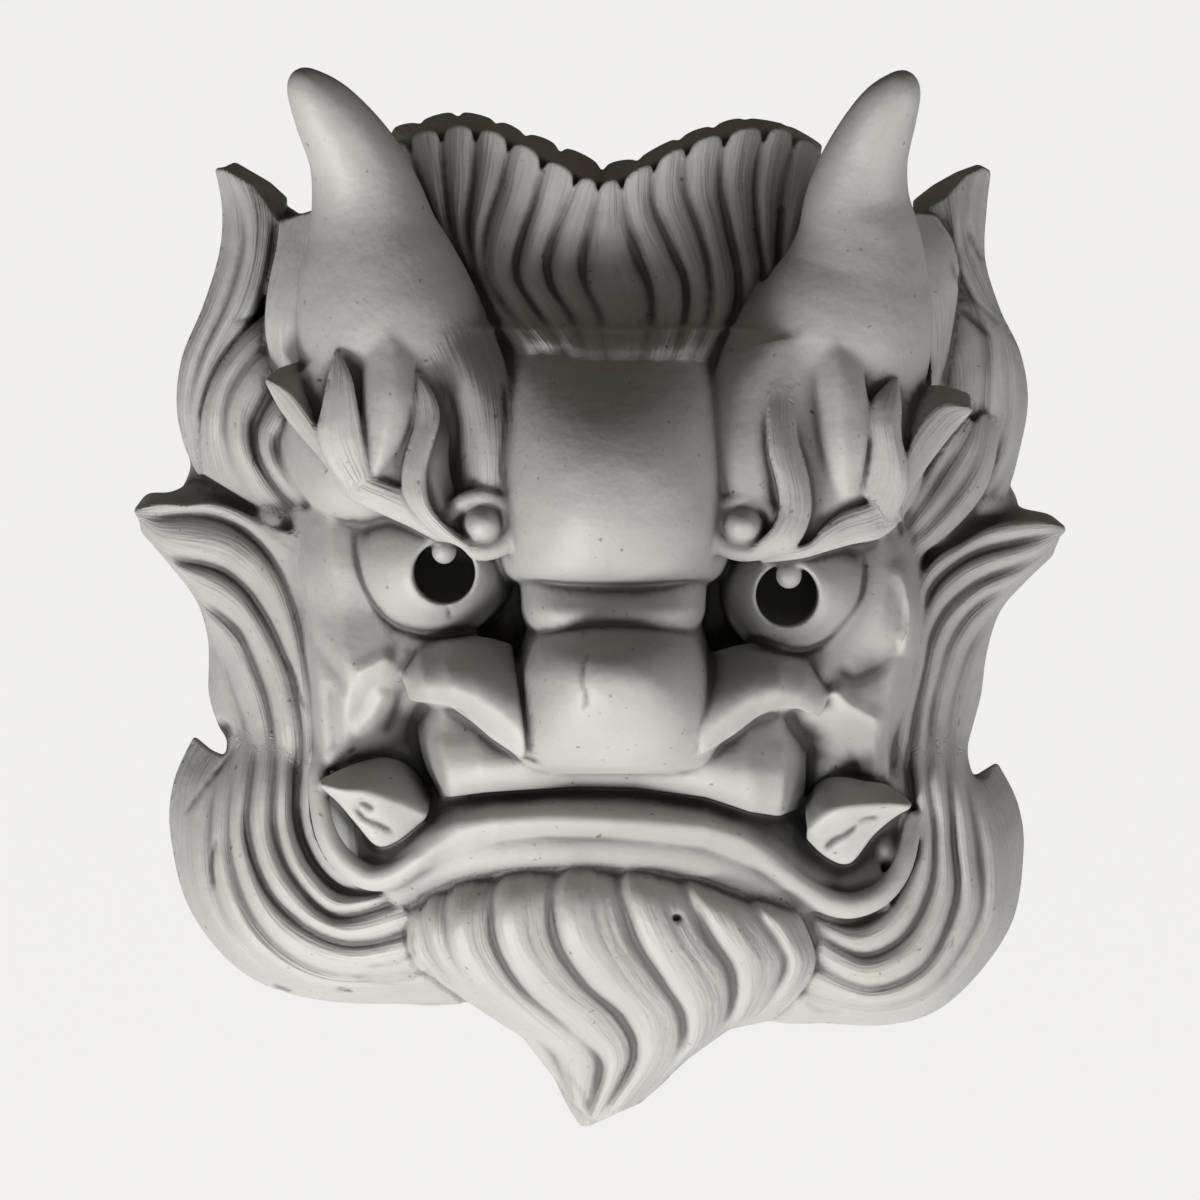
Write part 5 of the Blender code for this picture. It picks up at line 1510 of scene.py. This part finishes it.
@dataclass
class Finish:
    """Marks of the hand and of age: folds, grooves, comb lines, cracks, chips and small pockets.

    Attributes:
        grooves: depth, width, soot with painted shade, and (x, z) paths of each group: ridges of the cheeks,
            which have a
        negative depth, their folds, grooves under the eyes, slots beside the fangs, cracks, comb lines.
        chips: centre and radii of each chip or pocket.
    """

    grooves: Sequence[tuple[float, float, float, Sequence[Rows]]] = (
        (-3, 11, 0, (
            ((-84, -26), (-78, -23), (-70, -19)), ((-72, -30), (-78, -40), (-84, -47)),
            ((79, -29), (85, -36), (97, -43)), ((100, 14), (104, 4), (106, -8), (104, -20)),
        )),
        (1.8, 9, 0, (
            ((-102, 6), (-99, -10), (-93, -20), (-84, -33)), ((-92, -28), (-92, -42), (-90, -52)),
            ((-66, -27), (-70, -38), (-74, -46)), ((103, -14), (95, -22), (86, -26), (80, -22)),
        )),
        (1.6, 2.8, 0.6, (
            ((-83.5, 30), (-83.5, 18), (-81, 7), (-76.5, -2), (-70.5, -8.5), (-60, -12), (-49, -12),
             (-38, -8), (-31, -1)),
            ((90, 16), (90, 8), (88, 0), (83.5, -7), (77, -13.5), (69, -17.5), (60, -18), (48, -15)),
        )),
        (2.2, 2.6, 1, (
            ((-84, -70), (-80, -74.5), (-75, -76.5), (-70, -79.5)),
            ((-82, -69), (-79, -70), (-77, -72)),
            ((76, -85.5), (79, -82), (84, -79.5), (88, -76)),
        )),
        (1.2, 1.8, 0.9, (
            ((-3, -18.5), (-5, -20.5), (-6, -25), (-6, -28.5), (-5, -31), (-5, -35), (-6, -38)),
            ((-27, -53), (-20, -55.5)), ((-52, -2), (-51, -7)), ((88, -76), (90, -74.5), (95, -74)),
            ((-108, -18), (-104, -25), (-102, -32), (-100, -38)), ((-86, -52), (-83, -50)),
            ((-115, 108), (-116, 97), (-124, 95)), ((-124, -51), (-133, -62), (-141, -73)),
            ((-130, -80), (-132, -90), (-131, -98)), ((-33, 75), (-32.5, 60), (-33.5, 48), (-33, 40)),
            ((-111, -131), (-105, -133)), ((-90, -132), (-84, -133)), ((101.5, 28), (102.5, 22)),
            ((121, -114), (119, -118)), ((119, 118), (121, 110), (126, 103), (131, 98), (137, 92)),
            ((122, 99), (128, 94), (133, 89)), ((125, 128), (126.5, 122), (130, 115)),
        )),
        (0.9, 1.7, 0.3, (
            ((-62, -121), (-55, -130), (-47, -135.5)), ((-12, -160), (-6, -168), (-3, -178)),
            ((-63, -112), (-64, -117), (-62, -121)), ((-85, -116), (-76, -117.5), (-64, -113)),
            ((-80, -124.5), (-70, -123.5), (-62, -119.5)), ((-85, -128), (-72, -130), (-57, -126.5)),
            ((-120.5, -76), (-119, -86), (-112, -101), (-101, -110)),
            ((83, -140), (74, -139.5), (69.5, -136)),
        )),
    )
    chips: Sequence[Mass] = (
        ((26, -108, 89), (1.8, 1.2, 3)), ((-51, -39, 106), (6, 2.4, 12)), ((-48, -43, 102), (8, 1.4, 5)),
        ((56, -43, 106), (5.2, 2.8, 12)), ((-131, -44.5, 32), (6.2, 5.4, 20)),
        ((130, -50, 34), (5.4, 12, 22)), ((-93, 76, 110), (1.5, 4, 5)),
    )

    def model(self, block: ClayBlock) -> None:
        """Cut the marks into the block.

        Args:
            block: the clay.
        """
        for depth, width, groove_soot_and_shade, paths in self.grooves:
            for path in paths:
                block.carve(path, depth, width, groove_soot_and_shade)
        for centre, radii in self.chips:
            block.lobe(centre, radii, blend=0.5, sunk=True)


@dataclass
class Hollow:
    """Inside of the tile, open at the back, with the bar left across it that the tile is tied on by.

    Attributes:
        masses: centre and radii of each scooped part.
        bar_height: height of the bar's middle on the layout.
        bar_tall: its height.
        bar_thick: its thickness from the back of the tile.
        nostrils: (x, z, d, radius) at the front and the back of each nostril.
        seam: width of the soft seams between the scooped parts.
        rim: width of the rounding where the hollow opens.
        margin: how far round a scooped part its distance is worked out.
    """

    masses: Sequence[Mass] = (
        ((3, 6, 0), (86, 96, 57)), ((4, -62, 0), (72, 48, 56)), ((4, 78, 0), (66, 46, 50)),
        ((4.5, 34, 50), (24, 40, 64)), ((5, -28, 50), (24, 24, 68)), ((-62, 52, 40), (26, 36, 46)),
        ((70, 50, 40), (26, 36, 46)), ((-56, 12, 36), (22, 18, 44)), ((66, 4, 36), (20, 16, 44)),
        ((-30, 103, 0), (25, 36, 40)), ((34, 103, 0), (25, 35, 40)), ((4.5, 82, 28), (34, 28, 50)),
        ((-90, -80, 0), (27, 31, 32)), ((94, -88, 0), (25, 30, 32)), ((2, -98, 0), (52, 27, 56)),
    )
    bar_height: float = 5.0
    bar_tall: float = 40.0
    bar_thick: float = 18.0
    nostrils: Sequence[Rows] = (
        ((-50, -39.5, 108, 2.6), (-47, -30, 92, 3.2)),
        ((55.5, -43.5, 108, 3), (54, -34, 92, 3.6)),
    )
    seam: float = 4.0
    rim: float = 1.0
    margin: float = 8.0

    def model(self, block: ClayBlock) -> None:
        """Scoop the hollow and the nostrils out of the block.

        Args:
            block: the clay.
        """
        whole = tuple(slice(0, n) for n in block.count)
        inside = np.full(block.field.shape, block.FAR, dtype=np.float32)
        for centre, radii in self.masses:
            part, form = block.lobe_form(centre, radii, 1.0, self.margin)
            inside[part] = soft_least(inside[part], form.astype(np.float32), self.seam)
        _, z, d = block.places(whole)
        bar = np.maximum(np.abs(z - self.bar_height) - 0.5 * self.bar_tall, d - self.bar_thick)
        block.cut(whole, np.maximum(inside, -bar), self.rim)
        for hole in self.nostrils:
            block.roll(hole, blend=0.8, sunk=True)


@dataclass(frozen=True)
class Pattern:
    """Cloudy pattern, and the bump that it raises.

    Attributes:
        scale: clouds to a metre, or to a unit of the pattern's own place.
        detail: how many times finer clouds are added.
        strength: strength of the bump.
        height: height of the bump, in metres.
    """

    scale: float
    detail: float
    strength: float = 0.0
    height: float = 0.0


@dataclass(frozen=True)
class Film:
    """Soot and painted shade that grow with the share of clay round a place: darker in crevices and hollows.

    Attributes:
        start: share at which it begins.
        span: further share over which it grows. A negative span makes it grow as the share falls.
        amount: how much there is in the end.
    """

    start: float
    span: float
    amount: float

    def over(self, share: np.ndarray) -> np.ndarray:
        """Amount at places with the given shares of clay."""
        return self.amount * ease((share - self.start) / self.span)


class Recipe:
    """Nodes of a finish, added one at a time."""

    def __init__(self, material: bpy.types.Material) -> None:
        """Start from the material's own nodes.

        Args:
            material: the material, which is set to use nodes.
        """
        material.use_nodes = True
        self.tree = material.node_tree
        self.surface = self.tree.nodes["Principled BSDF"]
        self.place = self.node("TexCoord", {}).outputs["Object"]

    def node(self, kind: str, inputs: dict) -> bpy.types.Node:
        """Add a node.

        Args:
            kind: its type, without the usual prefix.
            inputs: for each input's name or number, a number, a colour or the output that feeds it.

        Returns:
            The node.
        """
        made = self.tree.nodes.new("ShaderNode" + kind)
        for name, value in inputs.items():
            if isinstance(value, bpy.types.NodeSocket):
                self.tree.links.new(value, made.inputs[name])
            else:
                made.inputs[name].default_value = value
        return made

    def attribute(self, name: str) -> bpy.types.NodeSocket:
        """Read one of the mesh's own attributes.

        Args:
            name: its name.

        Returns:
            The output that holds it.
        """
        made = self.node("Attribute", {})
        made.attribute_name = name
        return made.outputs["Fac"]

    def math(
        self, operation: str, *values: float | bpy.types.NodeSocket, clamp: bool = False
    ) -> bpy.types.NodeSocket:
        """Work out a number.

        Args:
            operation: what is done.
            values: numbers, or outputs that hold them.
            clamp: keeps the result from 0 to 1.

        Returns:
            The output that holds it.
        """
        made = self.node("Math", dict(enumerate(values)))
        made.operation = operation
        made.use_clamp = clamp
        return made.outputs[0]

    def noise(self, pattern: Pattern, place: bpy.types.NodeSocket) -> bpy.types.NodeSocket:
        """Lay a cloudy pattern.

        Args:
            pattern: the pattern.
            place: the output that says where a point lies in it.

        Returns:
            The output that holds its value.
        """
        inputs = {"Scale": pattern.scale, "Detail": pattern.detail, "Vector": place}
        return self.node("TexNoise", inputs).outputs["Fac"]

    def bump(self, pattern: Pattern, height: bpy.types.NodeSocket, under: dict) -> dict:
        """Raise a bump over the one under it.

        Args:
            pattern: the pattern that the bump follows.
            height: the output that holds its height.
            under: the normal of the bump under it, or nothing.

        Returns:
            The normal, ready to be fed to a node.
        """
        inputs = {"Strength": pattern.strength, "Distance": pattern.height, "Height": height}
        return {"Normal": self.node("Bump", inputs | under).outputs["Normal"]}


@dataclass(frozen=True)
class SmokedClay:
    """Smoke-fired clay: silver-grey, darker where soot lies and where shade is painted into crevices and
    hollows, with fine comb lines.

    Attributes:
        light: colour of rubbed clay.
        dark: colour of soot, and of the shade painted into the hollows.
        roughness: roughness of the skin.
        metallic: sheen of the smoke film.
        mottle: clouds of soot over the whole tile.
        mottled: how much soot the clouds hold.
        rubbed: soot rubbed off everywhere.
        speck: pattern of the small dark specks.
        speckled: values of that pattern between which a speck grows.
        speck_soot: soot in a speck.
        dents: unevenness left by the hands.
        grain: grain of the clay.
        combing: lines left by the comb.
        stretch: the comb lines' pattern units to a lock across, and to a millimetre along.
        near: half size of the box that shows how crowded a crevice is, in millimetres.
        wide: the same for a broad hollow.
        crevice: soot and painted shade in crevices.
        hollow: soot and painted shade in broad hollows.
        edge_wear_and_highlight: soot rubbed off the edges, which also paints a highlight on them.
        lifted: distance from the combed surface at which the comb lines begin to fade, in millimetres.
        fade: further distance over which they are gone.
    """

    light: Point = (0.40, 0.395, 0.37, 1.0)
    dark: Point = (0.055, 0.053, 0.046, 1.0)
    roughness: float = 0.58
    metallic: float = 0.1
    mottle: Pattern = Pattern(26.0, 6.0)
    mottled: float = 0.36
    rubbed: float = 0.1
    speck: Pattern = Pattern(330.0, 1.0)
    speckled: Point = (0.73, 0.8)
    speck_soot: float = 0.5
    dents: Pattern = Pattern(75.0, 1.5, 0.35, 0.0022)
    grain: Pattern = Pattern(420.0, 3.0, 0.35, 0.0005)
    combing: Pattern = Pattern(1.0, 2.0, 0.55, 0.0014)
    stretch: Point = (7.0, 0.03)
    near: float = 3.0
    wide: float = 9.0
    crevice: Film = Film(0.51, 0.2, 0.8)
    hollow: Film = Film(0.5, 0.25, 0.6)
    edge_wear_and_highlight: Film = Film(0.47, -0.12, 0.14)
    lifted: float = 1.5
    fade: float = 2.0

    def soot_and_shade(self, recipe: Recipe) -> bpy.types.NodeSocket:
        """Share of soot and painted shade: the mesh's own, with clouds over it and specks on it.

        Args:
            recipe: the nodes so far.

        Returns:
            The output that holds it.
        """
        clouds = recipe.noise(self.mottle, recipe.place)
        tone = recipe.math("MULTIPLY_ADD", clouds, self.mottled, recipe.attribute("soot_and_shade"), clamp=True)
        rubbed = recipe.math("SUBTRACT", tone, self.rubbed, clamp=True)
        inputs = {
            "Value": recipe.noise(self.speck, recipe.place),
            "From Min": self.speckled[0],
            "From Max": self.speckled[1],
            "To Min": 0.0,
            "To Max": self.speck_soot,
        }
        specks = recipe.node("MapRange", inputs).outputs["Result"]
        return recipe.math("ADD", rubbed, specks, clamp=True)

    def comb_lines(self, recipe: Recipe) -> bpy.types.NodeSocket:
        """Height of the comb lines: clouds drawn out along the locks, on combed clay alone.

        Args:
            recipe: the nodes so far.

        Returns:
            The output that holds it.
        """
        across = recipe.math("MULTIPLY", recipe.attribute("comb_across"), self.stretch[0])
        along = recipe.math("MULTIPLY", recipe.attribute("comb_along"), self.stretch[1])
        place = recipe.node("CombineXYZ", {"X": across, "Y": along}).outputs[0]
        return recipe.math("MULTIPLY", recipe.noise(self.combing, place), recipe.attribute("combed"))

    def build(self) -> bpy.types.Material:
        """Make the material.

        Returns:
            The material, with its nodes.
        """
        material = bpy.data.materials.new("smoked clay")
        recipe = Recipe(material)
        surface = recipe.surface
        surface.inputs["Metallic"].default_value = self.metallic
        surface.inputs["Roughness"].default_value = self.roughness
        normal = recipe.bump(self.dents, recipe.noise(self.dents, recipe.place), {})
        normal = recipe.bump(self.grain, recipe.noise(self.grain, recipe.place), normal)
        normal = recipe.bump(self.combing, self.comb_lines(recipe), normal)
        recipe.tree.links.new(normal["Normal"], surface.inputs["Normal"])
        # Colour runs from light to dark with the share of soot and painted shade: darker in crevices,
        # hollows and grooves.
        mix = recipe.node("Mix", {})
        mix.data_type = "RGBA"
        mix.inputs["A"].default_value = self.light
        mix.inputs["B"].default_value = self.dark
        recipe.tree.links.new(self.soot_and_shade(recipe), mix.inputs["Factor"])
        recipe.tree.links.new(mix.outputs["Result"], surface.inputs["Base Color"])
        return material

    def maps(self, block: ClayBlock, points: np.ndarray) -> dict[str, np.ndarray]:
        """Work out what the finish needs at each point of the skin.

        Args:
            block: the clay.
            points: the skin's points on the layout.

        Returns:
            The values of each of the mesh's own attributes, by its name.
        """
        lift = np.abs(points[:, 2] - block.sample(block.comb_depth, points))
        near = block.fullness(points, self.near)
        # Painted shade with soot: the colour darkens where clay crowds round a point, in crevices and broad
        # hollows.
        soot_and_shade = self.crevice.over(near) + self.hollow.over(block.fullness(points, self.wide))
        return {
            "comb_across": block.sample(block.comb_across, points),
            "comb_along": block.sample(block.comb_along, points),
            "combed": 1.0 - ease((lift - self.lifted) / self.fade),
            # Edges are lightened: wear, and a painted highlight on the ridges.
            "soot_and_shade": np.clip(soot_and_shade + block.sample(block.groove_soot_and_shade, points), 0.0, 1.0) - self.edge_wear_and_highlight.over(near),
        }


@dataclass
class Tile:
    """The whole tile, modelled as one block of clay.

    Attributes:
        sight: the sight line that the layout is drawn along.
        detail: how finely it is worked.
    """

    sight: Sight
    detail: Detail

    def shape(self) -> ClayBlock:
        """Model the clay, front first, then the hollow.

        Returns:
            The block.
        """
        block = ClayBlock(self.detail.pitch)
        forms = (
            Skull(), LEFT_FLAME, RIGHT_FLAME, LEFT_EAR, RIGHT_EAR, LEFT_SWIRL, RIGHT_SWIRL, LEFT_HORN,
            RIGHT_HORN, TOP_HAIR, LEFT_EYE, RIGHT_EYE, LEFT_BROW, RIGHT_BROW, CHEEKS, Forehead(), Nose(),
            Mouth(), BEARD, Finish(),
        )
        for form in forms:
            form.model(block)
            LOG.info("modelled %s", type(form).__name__)
        block.press()
        Hollow().model(block)
        for eye in (LEFT_EYE, RIGHT_EYE):
            eye.bore(block)
        block.soften()
        block.flatten_back()
        return block

    def thinned(self, skin: Skin) -> bpy.types.Mesh:
        """Keep the triangles that carry the shape.

        Args:
            skin: the full skin.

        Returns:
            A mesh on the layout with no more than the triangles that the detail allows.
        """
        mesh = bpy.data.meshes.new("skin")
        mesh.vertices.add(len(skin.points))
        mesh.vertices.foreach_set("co", skin.points.astype(np.float32).ravel())
        mesh.loops.add(skin.quads.size)
        mesh.loops.foreach_set("vertex_index", skin.quads.astype(np.int32).ravel())
        mesh.polygons.add(len(skin.quads))
        mesh.polygons.foreach_set("loop_start", np.arange(0, skin.quads.size, 4, dtype=np.int32))
        mesh.update(calc_edges=True)
        holder = bpy.data.objects.new("skin", mesh)
        bpy.context.scene.collection.objects.link(holder)
        thin = holder.modifiers.new("thin", "DECIMATE")
        thin.ratio = min(1.0, self.detail.triangles / (2.0 * len(skin.quads)))
        bpy.context.view_layer.update()
        shown = holder.evaluated_get(bpy.context.evaluated_depsgraph_get())
        made = bpy.data.meshes.new_from_object(shown)
        bpy.data.objects.remove(holder, do_unlink=True)
        bpy.data.meshes.remove(mesh)
        return made

    def build(self, clay: SmokedClay) -> bpy.types.Object:
        """Model, skin, seat and finish the tile.

        Args:
            clay: the finish.

        Returns:
            The tile's object.
        """
        block = self.shape()
        mesh = self.thinned(block.skin())
        points = np.empty(len(mesh.vertices) * 3, dtype=np.float32)
        mesh.vertices.foreach_get("co", points)
        points = points.reshape(-1, 3).astype(float)
        normals = self.sight.seat_normals(points, block.slope(points, block.pitch))
        mesh.vertices.foreach_set("co", self.sight.seat(points).astype(np.float32).ravel())
        for name, value in clay.maps(block, points).items():
            layer = mesh.attributes.new(name, "FLOAT", "POINT")
            layer.data.foreach_set("value", value.astype(np.float32))
        mesh.materials.append(clay.build())
        mesh.shade_smooth()
        mesh.normals_split_custom_set_from_vertices(normals.tolist())
        mesh.update()
        made = bpy.data.objects.new("Onigawara_roof_tile", mesh)
        bpy.context.scene.collection.objects.link(made)
        LOG.info("tile has %d triangles", sum(len(p.vertices) - 2 for p in mesh.polygons))
        return made


@dataclass(frozen=True)
class Lamp:
    """Soft round lamp that faces the tile.

    Attributes:
        name: its name.
        place: where it hangs, in metres.
        size: its width, in metres.
        power: its power, in watts.
    """

    name: str
    place: Point
    size: float
    power: float

    def hang(self) -> None:
        """Hang the lamp in the scene."""
        data = bpy.data.lights.new(self.name, "AREA")
        data.shape = "DISK"
        data.size = self.size
        data.energy = self.power
        made = bpy.data.objects.new(self.name, data)
        made.location = self.place
        made.rotation_euler = (-Vector(self.place)).to_track_quat("-Z", "Y").to_euler()
        bpy.context.scene.collection.objects.link(made)


@dataclass(frozen=True)
class Studio:
    """Pale floor and soft light.

    Attributes:
        floor_height: height of the floor, in metres.
        floor_size: its width, in metres.
        floor_colour: its colour.
        floor_roughness: its roughness.
        floor_glow: light that it gives off, so that it stays pale.
        air_colour: colour of the light from all round.
        air_strength: strength of that light.
        lamps: the lamps.
    """

    floor_height: float = -1.3
    floor_size: float = 60.0
    floor_colour: Point = (0.86, 0.86, 0.85, 1.0)
    floor_roughness: float = 0.9
    floor_glow: float = 0.8
    air_colour: Point = (1.0, 0.9, 0.7, 1.0)
    air_strength: float = 0.085
    lamps: Sequence[Lamp] = (
        Lamp("key", (-0.8, -1.0, -1.05), 0.5, 22.0),
        Lamp("fill", (1.2, -1.1, -0.8), 0.8, 8.0),
    )

    def build(self) -> bpy.types.Object:
        """Build the floor, the light from all round and the lamps.

        Returns:
            The floor.
        """
        floor = self.floor()
        world = bpy.data.worlds.new("studio")
        world.use_nodes = True
        air = world.node_tree.nodes["Background"]
        air.inputs["Color"].default_value = self.air_colour
        air.inputs["Strength"].default_value = self.air_strength
        bpy.context.scene.world = world
        for lamp in self.lamps:
            lamp.hang()
        bpy.context.scene.view_settings.view_transform = "Standard"
        return floor

    def floor(self) -> bpy.types.Object:
        """Lay the floor: one square face.

        Returns:
            The floor.
        """
        mesh = bpy.data.meshes.new("floor")
        half = self.floor_size / 2.0
        corners = [(-half, -half, 0.0), (half, -half, 0.0), (half, half, 0.0), (-half, half, 0.0)]
        mesh.from_pydata(corners, [], [(0, 1, 2, 3)])
        material = bpy.data.materials.new("pale floor")
        material.use_nodes = True
        surface = material.node_tree.nodes["Principled BSDF"]
        surface.inputs["Base Color"].default_value = self.floor_colour
        surface.inputs["Roughness"].default_value = self.floor_roughness
        surface.inputs["Emission Color"].default_value = (1.0, 1.0, 1.0, 1.0)
        surface.inputs["Emission Strength"].default_value = self.floor_glow
        mesh.materials.append(material)
        floor = bpy.data.objects.new("floor", mesh)
        floor.location = (0.0, 0.0, self.floor_height)
        bpy.context.scene.collection.objects.link(floor)
        return floor


def main() -> None:
    """Build the tile, the studio and the camera."""
    logging.basicConfig(level=logging.INFO, format="%(message)s")
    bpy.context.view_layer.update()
    sight = Sight()
    detail = Detail.FULL
    tile = Tile(sight, detail).build(SmokedClay())
    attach(tile, "root")
    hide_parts(NODE)
    Studio().build()
    sight.camera()


if __name__ == "__main__":
    main()
